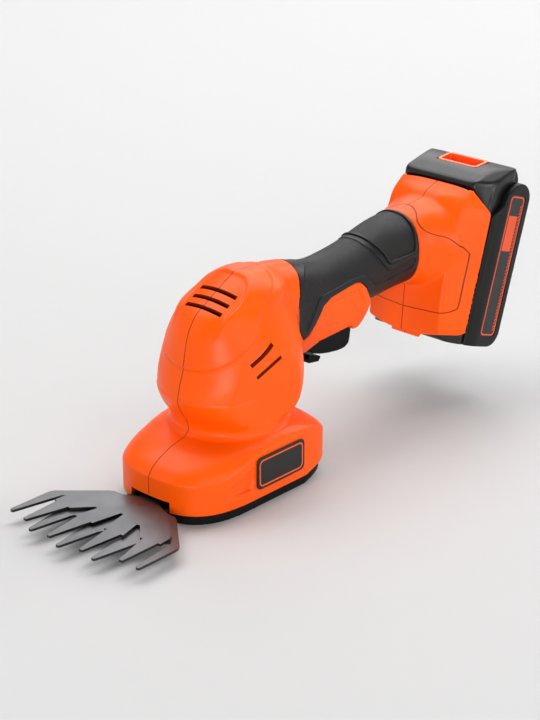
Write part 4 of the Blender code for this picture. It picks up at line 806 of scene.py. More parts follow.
def sliced(thing: Thing, point: Vector, normal: Vector) -> Thing:
    """Cut off what lies on the normal's side of a plane, and close the cut.

    Args:
        thing: the body.
        point: a point of the plane, in metres.
        normal: the plane's normal.

    Returns:
        The same body.
    """
    with edited(thing.data) as shape:
        cut = bmesh.ops.bisect_plane(
            shape, geom=shape.verts[:] + shape.edges[:] + shape.faces[:], plane_co=point,
            plane_no=normal, clear_outer=True,
        )
        rim = [e for e in cut["geom_cut"] if isinstance(e, bmesh.types.BMEdge)]
        bmesh.ops.triangle_fill(shape, edges=rim, use_beauty=True)
        bmesh.ops.recalc_face_normals(shape, faces=shape.faces)
    return thing


def applied(thing: Thing) -> None:
    """Bake an object's modifiers into its mesh.

    Args:
        thing: the object.
    """
    bpy.context.view_layer.update()
    source = thing.evaluated_get(bpy.context.evaluated_depsgraph_get())
    mesh = bpy.data.meshes.new_from_object(source)
    thing.modifiers.clear()
    thing.data = mesh


def discard(*things: Thing) -> None:
    """Remove helpers that are no longer needed."""
    for thing in things:
        bpy.data.objects.remove(thing, do_unlink=True)


def carved(thing: Thing, cutters: list[Thing], operation: str = "DIFFERENCE") -> Thing:
    """Cut a body by others, join them, or keep what it shares with them.

    Args:
        thing: the body.
        cutters: closed bodies, which are used up.
        operation: Blender's name of the operation.

    Returns:
        The same body.
    """
    for cutter in cutters:
        step = thing.modifiers.new("carve", "BOOLEAN")
        step.operation = operation
        step.object = cutter
        step.solver = "MANIFOLD"
        applied(thing)
    discard(*cutters)
    return thing


def pooled(name: str, things: list[Thing]) -> Thing:
    """Gather several bodies in one mesh.

    Args:
        name: name of the result.
        things: the bodies, which are used up.

    Returns:
        The new object.
    """
    shape = bmesh.new()
    for thing in things:
        shape.from_mesh(thing.data)
    made = object_from(name, shape)
    discard(*things)
    return made


def fused(name: str, things: list[Thing], grid_mm: float, passes: int) -> Thing:
    """Melt bodies that overlap into one skin with soft inside and outside corners.

    Args:
        name: name of the result.
        things: closed bodies, which are used up.
        grid_mm: spacing of the new skin's points.
        passes: how often the skin is eased.

    Returns:
        The new body.
    """
    body = pooled(name, things)
    skin = body.modifiers.new("skin", "REMESH")
    skin.mode = "VOXEL"
    skin.voxel_size = grid_mm * MM
    if passes:
        ease = body.modifiers.new("ease", "SMOOTH")
        ease.factor = 0.5
        ease.iterations = passes
    applied(body)
    body.data.shade_smooth()
    return body


def read_rows(source: bpy.types.bpy_prop_collection, name: str) -> Points:
    """Read three numbers of each element of a mesh.

    Args:
        source: the elements.
        name: what to read of each.

    Returns:
        One row for each.
    """
    flat = np.empty(len(source) * 3)
    source.foreach_get(name, flat)
    return flat.reshape(-1, 3)


def vertices(thing: Thing) -> Points:
    """A mesh's points in millimetres."""
    return read_rows(thing.data.vertices, "co") / MM


def normals(thing: Thing) -> Points:
    """The outward direction at each point of a mesh."""
    return read_rows(thing.data.vertex_normals, "vector")


def set_vertices(thing: Thing, points: Points) -> None:
    """Move a mesh's points to new places in millimetres."""
    thing.data.vertices.foreach_set("co", (points * MM).ravel())
    thing.data.update()


def mark(thing: Thing, name: str, values_mm: Points) -> None:
    """Keep a distance at each point for the finish to read."""
    attribute = thing.data.attributes.new(name, "FLOAT", "POINT")
    attribute.data.foreach_set("value", (values_mm * MM).astype(np.float32))


def smoothstep(low: float, high: float, value: Points) -> Points:
    """Zero below low, one above high and a soft step between."""
    t = np.clip((value - low) / (high - low), 0, 1)
    return t * t * (3 - 2 * t)


def signed_distance(points: Points, outline: Points) -> Points:
    """Distance of flat points to a closed outline, negative inside it.

    Args:
        points: the points.
        outline: corners of the outline.

    Returns:
        One distance for each point.
    """
    nearest = np.full(len(points), np.inf)
    inside = np.zeros(len(points), bool)
    for a, b in zip(outline, np.roll(outline, -1, axis=0)):
        edge = b - a
        away = points - a
        t = np.clip(away @ edge / max(edge @ edge, 1e-12), 0, 1)
        nearest = np.minimum(nearest, np.hypot(*(away - t[:, None] * edge).T))
        spans = (a[1] > points[:, 1]) != (b[1] > points[:, 1])
        rise = edge[1] if abs(edge[1]) > 1e-9 else 1e-9
        crossing = a[0] + (points[:, 1] - a[1]) * edge[0] / rise
        inside ^= spans & (points[:, 0] < crossing)
    return np.where(inside, -nearest, nearest)


def both_sides(half: Points) -> Points:
    """Close a half outline, given from top to bottom at x over zero, with its mirror image."""
    half = smooth_through(half, 4)
    return np.vstack([half, (half * (-1, 1))[::-1]])


def on_slope(points: Points) -> Points:
    """Points as they look from behind and above: x, and the way up a slope of 45 degrees."""
    return np.column_stack([points[:, 0], (points[:, 1] + points[:, 2]) / math.sqrt(2)])


def sharpen(thing: Thing, degrees: float) -> None:
    """Shade smooth, but keep edges crisp that turn by more than the angle.

    Args:
        thing: the piece.
        degrees: the angle.
    """
    with edited(thing.data) as shape:
        for face in shape.faces:
            face.smooth = True
        limit = math.radians(degrees)
        for edge in shape.edges:
            edge.smooth = not (len(edge.link_faces) == 2 and edge.calc_face_angle() > limit)


def dress(piece: Thing, body: str, finish: Finish, nodes: tuple[str, ...],
          crisp: float) -> None:
    """Args:
        piece: the piece, in its place.
        body: the body it rides on.
        finish: its finish.
        nodes: the CAD nodes it stands for.
        crisp: turn in degrees above which an edge stays crisp.
    """
    piece.data.materials.clear()
    piece.data.materials.append(finish.material())
    sharpen(piece, crisp)
    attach(piece, body)
    if nodes:
        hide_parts(*nodes)
    log.info("%s: %d faces", piece.name, len(piece.data.polygons))


def copy_of(node: str, name: str) -> Thing:
    """A new object with a CAD node's mesh, in its place.

    Args:
        node: the node's name.
        name: the new object's name.

    Returns:
        The object.
    """
    source = frame["nodes"][node]
    mesh = source.data.copy()
    mesh.transform(source.matrix_world)
    return new_object(name, mesh)


# Sub-assemblies


# Where the foot's own frame stands, in millimetres, and how far it leans back, in degrees
FOOT_ORIGIN = (0.0, 183.0, 52.0)
FOOT_LEAN = 18.0
FOOT_PLACE = leaned(*FOOT_ORIGIN, -FOOT_LEAN)


def mirrored(half: list[tuple[float, float]]) -> Points:
    """Close an outline given on one side with its mirror image."""
    return np.array(half + [(-x, y) for x, y in reversed(half)])


def rounded_outline(low: tuple[float, float], high: tuple[float, float], radius: float) -> Points:
    """A rectangle with round corners, as flat points.

    Args:
        low: lowest corner.
        high: highest corner.
        radius: radius of the round corners.

    Returns:
        The points, anticlockwise.
    """
    middles = ((high[0] - radius, high[1] - radius), (low[0] + radius, high[1] - radius),
               (low[0] + radius, low[1] + radius), (high[0] - radius, low[1] + radius))
    made = []
    for quarter, (a, b) in enumerate(middles):
        for angle in np.radians(90 * quarter + np.linspace(0, 90, 7)):
            made.append((a + radius * math.cos(angle), b + radius * math.sin(angle)))
    return np.array(made)


@dataclass
class Handle:
    """The handle's form, shared by the orange core, the panel and the soft grip.

    Attributes:
        stations: y, bottom z, top z and half width along the handle.
        power: fullness of the cross section.
        roll_radius: radius at which the skin is unrolled.
    """

    stations: Points = table(
        (50.5, 60.0, 122.4, 17.8), (62.5, 60.5, 120.8, 17.5), (73.0, 64.0, 117.8, 17.3),
        (89.0, 70.0, 114.8, 17.0), (106.0, 74.5, 115.3, 17.0), (127.0, 77.0, 118.1, 17.4),
        (149.0, 79.0, 122.8, 18.2), (167.0, 79.5, 123.8, 18.8), (187.0, 79.5, 122.0, 19.0),
    )
    power: float = 2.25
    roll_radius: float = 21.0

    def rings(self, inset: float, first: float = 50.5, last: float = 187.0,
              floor: float = 999.0) -> list[Points]:
        """Cross sections between two stations.

        Args:
            inset: how far they are moved inward.
            first: y of the first station.
            last: y of the last station.
            floor: highest z that the underside may have.

        Returns:
            Rings of points in millimetres.
        """
        rows = smooth_through(self.stations, 8)
        rows = rows[(rows[:, 0] >= first - 0.01) & (rows[:, 0] <= last + 0.01)]
        made = []
        for y, low, high, half in rows:
            made.append(
                section_oval(y, half - inset, min(low, floor) + inset, high - inset, self.power))
        return made

    def at(self, y: float | Points) -> tuple[Points, Points, Points]:
        """Bottom z, top z and half width at stations in between."""
        rows = self.stations
        return tuple(np.interp(y, rows[:, 0], rows[:, column]) for column in (1, 2, 3))

    def unroll(self, points: Points) -> Points:
        """Spread the handle flat.

        Args:
            points: points on its skin.

        Returns:
            For each point y, and the way down round the side from the top line.
        """
        low, high, half = self.at(points[:, 1])
        lift = (points[:, 2] - (low + high) / 2) / ((high - low) / 2)
        side = np.abs(points[:, 0]) / half
        return np.column_stack([points[:, 1], np.arctan2(side, lift) * self.roll_radius])


@dataclass
class Housing:
    """The moulded shell: skirt, neck, head, handle core, trigger panel and foot.

    Attributes:
        handle: the handle's form.
        finishes: the finishes.
        grid: spacing of the skin's points.
        wall: thickness of the shell.
        core_inset: how far the core lies under the soft grip's face.
        skirt_front: lowest y of the skirt.
        skirt_rear: its highest y.
        skirt_half: its half width.
        skirt_base: z of its rim.
        neck_middle: y of the middle of the neck and the head.
        neck_level: z at which the skirt's slope ends.
        head_base: z at which the head starts.
        head_height: its height.
        head_reach: its reach to the front, to the rear and to the side.
        shield_step: how far the head lies back outside the shield's outline.
        shield_groove: how much deeper it is along that outline.
        scoop_rim: height of the rim round the hollow in front of the grip.
        recess_depth: depth of the recess on each side of the skirt.
        panel_depth: depth of the panel's field.
        head_shares: height and reach of its rings, as shares of these.
        crease: y and z of the line where the skirt's wall starts to slope.
        slope: shares inward and upward along the slope.
        foot_levels: of each ring of the foot the level, y in the middle and at its crease, and
            x and y of its edge, in the foot's frame.
        flank_point: a point of the flat on each side of the head.
        flank_normal: that flat's normal.
        shield: half outline of the raised field on the head.
        scoop: half outline of the hollow in front of the grip.
        foot_line: half outline of the moulded line on the foot, across and up.
        panel: outline of the panel over the trigger, y and z.
        neck_edge: y and z of the edge between the neck and the soft grip.
    """

    handle: Handle
    finishes: Finishes
    grid: float = 0.62
    wall: float = 2.4
    core_inset: float = 2.5
    skirt_front: float = -44.7
    skirt_rear: float = 66.0
    skirt_half: float = 38.8
    skirt_base: float = 6.0
    neck_middle: float = 20.0
    neck_level: float = 40.0
    head_base: float = 45.0
    head_height: float = 79.2
    head_reach: tuple[float, float, float] = (42.4, 40.0, 40.2)
    shield_step: float = 0.45
    shield_groove: float = 0.25
    scoop_rim: float = 1.5
    recess_depth: float = 1.9
    panel_depth: float = 0.7
    crease: Points = table(
        (-45.0, 24.2), (-34.0, 24.2), (-26.0, 24.8), (-16.7, 26.8), (-5.6, 31.0), (5.3, 34.0),
        (16.0, 35.0), (31.0, 35.0), (47.0, 33.6), (56.0, 30.8), (66.0, 27.0),
    )
    slope: Points = table(
        (0.0, 0.0), (0.121, 0.293), (0.299, 0.516), (0.523, 0.707), (0.745, 0.828), (0.925, 0.911),
    )
    head_shares: Points = table(
        (0.035, 0.807, 0.919, 0.900), (0.100, 0.893, 0.976, 0.962), (0.200, 0.972, 1.008, 1.000),
        (0.300, 0.944, 1.018, 1.000), (0.400, 0.880, 1.000, 1.000), (0.500, 0.836, 0.942, 1.000),
        (0.600, 0.798, 0.850, 0.990), (0.690, 0.738, 0.755, 0.965), (0.785, 0.606, 0.662, 0.930),
        (0.860, 0.377, 0.600, 0.890), (0.915, 0.196, 0.525, 0.830), (0.960, 0.038, 0.392, 0.760),
        (0.990, -0.094, 0.240, 0.680),
    )
    foot_levels: Points = table(
        (-12.0, -5.4, -4.2, 37.2, 10.2), (-5.0, -7.2, -5.4, 37.2, 10.0),
        (6.4, -9.9, -8.4, 37.2, 9.8), (20.4, -13.2, -10.6, 37.2, 9.4),
        (36.0, -14.6, -11.5, 37.2, 8.8), (50.0, -15.2, -11.9, 37.2, 8.2),
        (62.0, -15.4, -11.0, 37.2, 7.6), (70.0, -15.2, -10.2, 37.2, 7.4),
        (74.0, -14.4, -8.9, 36.4, 6.6), (77.8, -12.6, -6.6, 32.8, 3.6),
        (81.5, -7.6, -3.9, 29.4, 0.8), (86.5, -0.9, -0.6, 25.6, -0.5),
    )
    flank_point: tuple[float, float, float] = (33.3, 6.8, 75.4)
    flank_normal: tuple[float, float, float] = (0.982, -0.162, -0.096)
    shield: Points = table(
        (0.0, 42.8, 123.6), (7.0, 41.8, 123.4), (12.5, 40.3, 122.0), (17.4, 37.4, 119.7),
        (21.3, 32.8, 117.2), (23.2, 28.4, 114.2), (24.5, 22.7, 111.4), (26.1, 19.1, 108.0),
        (28.4, 15.7, 102.8), (29.8, 12.7, 98.8), (30.3, 8.9, 95.8), (29.8, 3.7, 92.4),
        (27.5, -2.6, 87.4), (23.9, -7.3, 84.1), (19.3, -11.0, 81.8), (12.9, -14.3, 80.2),
        (6.4, -16.2, 79.2), (0.0, -16.8, 78.9),
    )
    scoop: Points = table(
        (0.0, 24.0, 123.2), (5.5, 24.3, 122.8), (9.9, 23.9, 121.6), (14.0, 20.5, 118.8),
        (16.2, 15.6, 115.5), (17.3, 8.7, 111.4), (16.9, 3.2, 108.7), (16.8, -1.7, 104.8),
        (16.6, -4.2, 101.4), (14.0, -9.0, 92.0), (0.0, -12.0, 88.0),
    )
    foot_line: Points = table(
        (0.0, 68.0), (4.0, 67.3), (9.3, 64.5), (14.0, 59.6), (18.2, 55.6), (22.0, 54.4),
        (27.0, 53.6), (32.3, 47.6), (33.0, 45.0), (32.9, 30.0), (32.7, 14.6), (31.6, 11.2),
        (27.7, 8.1), (20.0, 7.3), (0.0, 6.1),
    )
    panel: Points = table(
        (55.0, 56.0), (70.0, 56.0), (73.3, 60.5), (77.2, 66.2), (82.0, 69.0), (110.5, 70.8),
        (111.7, 68.0), (113.5, 66.8), (117.5, 66.8), (119.2, 70.0), (122.5, 78.0), (124.0, 83.0),
        (119.5, 92.5), (115.0, 96.8), (109.5, 97.9), (87.5, 94.9), (81.4, 91.8), (75.7, 83.8),
        (70.0, 76.5), (63.8, 73.8), (55.0, 73.2),
    )
    neck_edge: Points = table(
        (65.2, 119.5), (65.1, 114.4), (63.2, 109.1), (61.3, 102.5), (58.9, 98.1), (57.4, 92.2),
        (58.8, 86.0), (62.8, 78.9), (69.5, 70.3),
    )

    def skirt_rings(self, inset: float) -> list[Points]:
        """Rings of the skirt: straight up to the crease, then sloping in to the neck.

        Args:
            inset: how far the skin is moved inward.

        Returns:
            The rings, from the rim up.
        """
        plan = plan_oval(self.skirt_front + inset, self.skirt_rear - inset,
                         self.skirt_half - inset, 1.0, 2.85, 7.0)
        neck = plan_oval(-13.0 + inset, 53.0 - inset, 33.0 - inset, self.neck_middle, 2.0, 2.0)
        crest = np.interp(plan[:, 1], self.crease[:, 0], self.crease[:, 1])
        drop = 0.9 * inset
        base = self.skirt_base
        # The hollow is open at the bottom
        rings = [level_ring(plan, base - (20.0 if inset else 0.0))]
        for share in (0.4, 0.75, 0.93):
            rings.append(level_ring(plan, base + share * (crest - base - drop)))
        straight = 0.25 * (plan[:, 0] / self.skirt_half) ** 2
        for inward, upward in smooth_through(self.slope, 3):
            rise = upward + straight * (inward - upward)
            flat = plan + inward * (neck - plan)
            rings.append(level_ring(flat, crest + rise * (self.neck_level - crest) - drop))
        for level in (41.0 - drop, 42.4 - 0.5 * drop, 43.8):
            rings.append(level_ring(neck, level))
        return rings

    def body_rings(self, inset: float) -> list[Points]:
        """Plan rings from the skirt's rim over the neck to the crown.

        Args:
            inset: how far the skin is moved inward.

        Returns:
            The rings, from the rim up.
        """
        middle = self.neck_middle
        to_front, to_rear, to_side = self.head_reach
        rows = []
        for height, front, side, rear in self.head_shares:
            front_y, rear_y = middle - to_front * front, middle + to_rear * rear
            widest = (front_y + rear_y) / 2 if front_y > 0 else middle
            rows.append((height, front_y, rear_y, to_side * side, widest))
        rings = self.skirt_rings(inset)
        for height, front, rear, half, widest in smooth_through(np.array(rows), 5):
            outline = plan_oval(front + inset, rear - inset, half - inset, widest, 1.97, 2.2)
            ring = level_ring(outline, self.head_base + self.head_height * height)
            for side in (1, -1):
                flank = (side * self.flank_point[0], *self.flank_point[1:])
                normal = np.array((side * self.flank_normal[0], *self.flank_normal[1:]))
                over = (ring - flank) @ normal + inset
                eased = np.where(over > -1.2, (over + 1.2) ** 2 / 4.8, 0.0)
                ring[:, 0] -= np.where(over > 1.2, over, eased) / normal[0]
            ring[:, 2] -= inset * height
            rings.append(ring)
        return rings

    def foot(self, inset: float) -> Thing:
        """The foot behind the handle, in its own tilted frame.

        Args:
            inset: how far the skin is moved inward.

        Returns:
            The foot, in its place.
        """
        rings = []
        for level, middle, crease, rim_x, rim_y in smooth_through(self.foot_levels, 3):
            half = [(0.0, middle), (12.0, middle + 0.12 * (crease - middle)), (27.0, crease),
                    (rim_x, rim_y), (rim_x, 12.0)]
            outline = [(x - inset * min(x / 27.0, 1.0), y + inset) for x, y in half]
            outline += [(-x, y) for x, y in reversed(outline[1:])]
            rings.append(np.array([(x, y, level) for x, y in outline]))
        made = loft("foot", rings)
        belly = [(37.6, 0.8), (36.8, -2.0), (33.0, -4.3), (22.0, -6.9), (12.0, -8.8), (0.0, -9.3)]
        belly = [(x - inset * x / 37.6, z + inset) for x, z in belly]
        limit = slab("belly", mirrored([(38.0, 90.0), *belly]), -40.0, 20.0, "Y")
        carved(made, [limit], "INTERSECT")
        rear = 9.9 if not inset else -2.6
        sliced(made, Vector((0, rear * MM, 0)), Vector((0, 1, 0.026)).normalized())
        sliced(made, Vector((0, (7.6 - inset) * MM, 0.073)), Vector((0, 0.788, 0.616)))
        return turned(made, FOOT_PLACE)

    def collar(self) -> Thing:
        """The swell of the foot round the grip's end.

        Returns:
            The collar.
        """
        rings = []
        flare = ((166.1, 0.0), (167.2, 1.2), (169.0, 1.5), (173.0, 2.7), (177.5, 5.2), (184.0, 9.0),
                 (192.0, 12.0))
        for y, grow in smooth_through(np.array(flare), 4):
            low, high, half = self.handle.at(y)
            rings.append(section_oval(y, half + grow, low - grow, high + 0.4 * grow, 2.2))
        return loft("collar", rings)

    def outside(self) -> Thing:
        """The outer skin, before it is hollowed.

        Returns:
            The skin, as one body.
        """
        body = loft("body", self.body_rings(0.0))
        sliced(body, Vector((0, 0.043, 0.006)), Vector((0, 0.24, -1.0)).normalized())
        rows = ((39.0, 64.0, 119.5, 17.0), (50.0, 61.2, 122.6, 17.6), (60.2, 60.0, 121.2, 17.6))
        shoulder = [section_oval(y, half, low, high, 2.2)
                    for y, low, high, half in smooth_through(np.array(rows), 6)]
        core = loft("core", self.handle.rings(self.core_inset))
        limit = np.vstack([self.neck_edge, [(47.0, 70.3), (47.0, 126.0), (65.2, 126.0)]])
        neck = loft("neck", self.handle.rings(0.0, 50.5, 70.0))
        neck = carved(neck, [slab("neck_limit", limit, -30, 30)], "INTERSECT")
        panel = loft("panel", self.handle.rings(0.0, 56.0, 130.0, 60.0))
        panel = carved(panel, [slab("panel_limit", self.panel, -30, 30)], "INTERSECT")
        lip = turned(block("lip", (-10.6, -2.0, -11.2), (10.6, 6.0, -6.0)), FOOT_PLACE)
        foot = fused("foot", [self.foot(0.0), self.collar()], 0.9, 6)
        parts = [body, loft("shoulder", shoulder), core, neck, panel, foot, lip]
        return fused("housing", parts, self.grid, 5)

    def inside(self) -> Thing:
        """The hollow that the drive and the leads lie in.

        Returns:
            The hollow, as a body to cut with.
        """
        body = loft("hollow_body", self.body_rings(self.wall))
        core = loft("hollow_core", self.handle.rings(self.core_inset + self.wall))
        return fused("hollow", [body, core, self.foot(self.wall)], 1.3, 1)

    def openings(self) -> list[Thing]:
        """Vents, blade slot, trigger slot and the way in for the battery's rails.

        Returns:
            The bodies to cut with.
        """
        vents = []
        for along, up, lean in ((11.2, 117.1, 30.0), (5.1, 113.7, 30.0), (-0.6, 110.2, 31.0)):
            vent = block("vent", (-13.3, -1.35, -8.0), (13.3, 1.35, 8.0))
            vents.append(turned(vent, leaned(0, along, up, lean)))
        for side in (1, -1):
            for along, up, half in ((10.8, 87.8, 34.5), (15.3, 79.6, 35.5)):
                vent = block("side_vent", (-7, -9.0, -1.15), (7, 9.0, 1.15))
                vents.append(turned(vent, leaned(side * half, along, up, 30)))
        slot = block("blade_slot", (-14.75, -65.0, 0.0), (14.75, -35.0, 12.7))
        trigger = block("trigger_slot", (-9.4, 67.8, 50.0), (9.4, 116.2, 75.0))
        lock_way = block("lock_way", (-6.8, 62.6, 50.0), (6.8, 70.0, 67.4))
        rails = turned(block("rails", (-23.9, -3.0, -3.6), (23.9, 10.0, 104.5)), FOOT_PLACE)
        bay = slab("bay", mirrored([(26.3, -0.3), (34.6, 9.5), (34.6, 20.0)]), -30.0, 110.0, "Z")
        return [pooled("vents", vents), slot, trigger, lock_way, rails, turned(bay, FOOT_PLACE)]

    def sculpt(self, body: Thing) -> None:
        """Flats, steps and recesses that the mould gives the outside.

        Args:
            body: the outer skin.
        """
        points = vertices(body)
        direction = normals(body)
        spread = on_slope(points)
        on_dome = (points[:, 2] > 62) & (points[:, 1] < 47.5)
        shield = np.where(on_dome, signed_distance(spread, both_sides(on_slope(self.shield))), 10.0)
        mark(body, "shield", shield)
        step = self.shield_step * smoothstep(-1.3, -0.1, shield)
        step += self.shield_groove * np.exp(-((shield - 0.3) / 0.7) ** 2)
        points -= direction * (step * on_dome)[:, None]
        scoop = signed_distance(spread, both_sides(on_slope(self.scoop)))
        strength = smoothstep(60, 80, spread[:, 1]) * on_dome
        rim = self.scoop_rim * smoothstep(-1.6, 1.0, scoop) * np.exp(-np.maximum(scoop, 0) / 7.0)
        points += direction * (rim * strength)[:, None]
        side_view = points[:, 1:]
        recess = np.array([(-21.0, 19.0), (-1.0, 27.3), (-1.0, 18.1), (-3.4, 13.3), (-21.0, 13.2)])
        low = signed_distance(side_view, recess)
        depth = self.recess_depth * (1 - smoothstep(-0.9, 0.0, low))
        depth *= smoothstep(-27, -3, points[:, 1])
        depth *= (np.abs(direction[:, 0]) > 0.5) & (points[:, 2] < 40)
        points -= direction * depth[:, None]
        mark(body, "recess", np.where(depth > 0.45, -low, np.where(low > 0, -low, -10.0)))
        inner = np.array([(75.5, 80.0), (82.3, 88.3), (88.8, 91.8), (113.0, 93.3), (118.6, 83.5),
                          (112.0, 72.8), (84.0, 71.5), (74.5, 70.0)])
        hollow = signed_distance(side_view, inner)
        on_panel = (np.abs(direction[:, 0]) > 0.5) & (points[:, 2] < 98) & (points[:, 1] > 66)
        on_panel &= points[:, 1] < 126
        field_depth = self.panel_depth * (1 - smoothstep(-0.8, 0.3, hollow)) * on_panel
        points -= direction * field_depth[:, None]
        mark(body, "panel_field", np.where(on_panel, -hollow, -10.0))
        lean = math.radians(FOOT_LEAN)
        up_slide = (points[:, 2] - FOOT_ORIGIN[2]) * math.cos(lean)
        along_slide = (points[:, 1] - FOOT_ORIGIN[1]) * math.sin(lean) + up_slide
        face = np.column_stack([points[:, 0], along_slide])
        foot = signed_distance(face, both_sides(self.foot_line))
        mark(body, "foot_line", np.where(points[:, 1] > 150, foot, 10.0))
        set_vertices(body, points)

    def build(self) -> None:
        """Make the shell and dress it."""
        body = self.outside()
        self.sculpt(body)
        body = carved(body, [self.inside(), *self.openings()])
        body.name = "housing_shell"
        dress(body, "tool_body", self.finishes.housing,
              ("housing_left", "housing_right"), 40)


@dataclass
class SoftGrip:
    """The soft overmould, with its dotted pads, raised rib and plain bands.

    Attributes:
        handle: the handle's form.
        finishes: the finishes.
        housing: the shell that it lies on, for the panel and the neck's edge.
        rib_outer: outer line of the raised rib, from the top line to the top line.
        rib_inner: inner line of the rib.
        front_pad: outline of the dotted pad in front.
        thickness: how thick the sleeve is.
        rib_height: how far the rib stands out.
        pad_depth: how far the pad is sunk.
    """

    handle: Handle
    finishes: Finishes
    housing: Housing
    rib_outer: Points = table(
        (0.0, 127.8, 118.5), (7.4, 128.5, 116.9), (12.0, 130.6, 114.2), (15.5, 134.0, 109.7),
        (17.4, 136.9, 104.3), (17.7, 139.4, 101.8), (17.9, 142.5, 101.4), (18.1, 147.7, 101.5),
        (18.4, 157.3, 102.3), (18.5, 161.7, 103.1), (18.4, 164.5, 106.0), (17.0, 165.5, 112.5),
        (14.1, 165.9, 117.3), (11.1, 166.0, 120.2), (0.0, 166.0, 123.9),
    )
    rib_inner: Points = table(
        (0.0, 131.0, 119.0), (5.6, 130.9, 118.1), (11.0, 132.2, 115.4), (14.4, 134.6, 112.0),
        (16.7, 138.0, 107.5), (17.6, 141.0, 104.3), (17.7, 143.1, 103.8), (18.1, 151.0, 104.0),
        (18.3, 159.6, 104.3), (18.3, 161.8, 106.7), (17.0, 162.8, 112.5), (14.1, 163.2, 117.3),
        (0.0, 163.4, 123.6),
    )
    front_pad: Points = table(
        (0.0, 77.2, 117.0), (4.2, 76.3, 116.6), (7.3, 75.4, 115.5), (11.0, 71.3, 113.3),
        (15.4, 66.5, 106.0), (17.4, 64.6, 92.9), (16.1, 67.0, 80.5), (17.0, 76.7, 96.2),
        (16.6, 84.3, 98.9), (16.5, 94.8, 99.6), (16.4, 105.3, 100.9), (16.8, 113.4, 101.0),
        (16.9, 117.5, 100.3), (17.2, 121.5, 97.8), (17.1, 125.0, 93.8), (17.8, 132.0, 91.0),
        (18.2, 153.3, 92.5), (18.6, 161.7, 95.0), (18.6, 161.7, 100.0), (18.2, 153.3, 98.5),
        (17.8, 142.7, 97.6), (17.7, 138.9, 97.9), (17.4, 134.2, 102.8), (16.0, 130.3, 107.9),
        (12.3, 127.0, 113.0), (8.8, 124.8, 115.6), (2.1, 124.1, 117.5), (0.0, 124.0, 117.8),
    )

    thickness: float = 2.2
    rib_height: float = 0.85
    pad_depth: float = 0.40

    def spread(self, line: Points) -> Points:
        """Lay a line flat and close it over the top of the handle.

        Args:
            line: points on the grip's skin.

        Returns:
            The flat outline.
        """
        flat = self.handle.unroll(line)
        first, last = flat[0], flat[-1]
        return np.vstack([(first[0], -6.0), smooth_through(flat, 3), (last[0], -6.0)])

    def build(self) -> None:
        """Make the sleeve and dress it."""
        sleeve = fused("soft_grip", [loft("sleeve", self.handle.rings(0.0, 54.0, 187.0))], 0.45, 3)
        bore = loft("bore", self.handle.rings(self.thickness))
        window = slab("window", self.grown(self.housing.panel, 0.3), -30, 30)
        far = [(72.0, 40.0), (20.0, 40.0), (20.0, 150.0), (65.4, 150.0)]
        ahead = np.vstack([self.housing.neck_edge + (0.25, 0.0), far])
        front = slab("front", ahead, -60, 60)
        below = block("below", (-60, 0, 0), (60, 105, 74.5))
        behind = block("behind", (-60, 165.8, 0), (60, 260, 200))
        carved(sleeve, [bore, window, front, below, behind])
        points = vertices(sleeve)
        direction = normals(sleeve)
        flat = self.handle.unroll(points)
        outer = signed_distance(flat, self.spread(self.rib_outer))
        inner = signed_distance(flat, self.spread(self.rib_inner))
        pad = signed_distance(flat, self.spread(self.front_pad))
        band = np.maximum(outer, -inner)
        rise = self.rib_height * (1 - smoothstep(-0.65, 0.05, band))
        rise -= self.pad_depth * (1 - smoothstep(-0.5, 0.2, pad))
        points += direction * rise[:, None]
        set_vertices(sleeve, points)
        distances = {"rib_outer": outer, "rib_inner": inner, "pad": np.minimum(pad, inner),
                     "front_band": pad, "rib": band, "plain_band": -pad}
        for name, distance in distances.items():
            mark(sleeve, name, distance)
        # The rows of dots run 30 degrees off the handle's line
        unrolled = sleeve.data.attributes.new("unrolled", "FLOAT_VECTOR", "POINT")
        lean = math.radians(30)
        turn = np.array([[math.cos(lean), -math.sin(lean)], [math.sin(lean), math.cos(lean)]])
        rolled = np.column_stack([flat @ turn.T, np.zeros(len(flat))]) * MM
        unrolled.data.foreach_set("vector", rolled.astype(np.float32).ravel())
        dress(sleeve, "tool_body", self.finishes.grip,
              ("soft_grip_left", "soft_grip_right"), 40)

    def grown(self, outline: Points, gap: float) -> Points:
        """Move an outline outward by a small gap.

        Args:
            outline: its corners, anticlockwise.
            gap: how far.

        Returns:
            The new corners.
        """
        ahead, behind = np.roll(outline, 1, axis=0), np.roll(outline, -1, axis=0)
        shifted = []
        for before, here, after in zip(ahead, outline, behind):
            way = after - before
            side = np.array([way[1], -way[0]]) / np.linalg.norm(way)
            shifted.append(here + gap * side)
        return np.array(shifted)


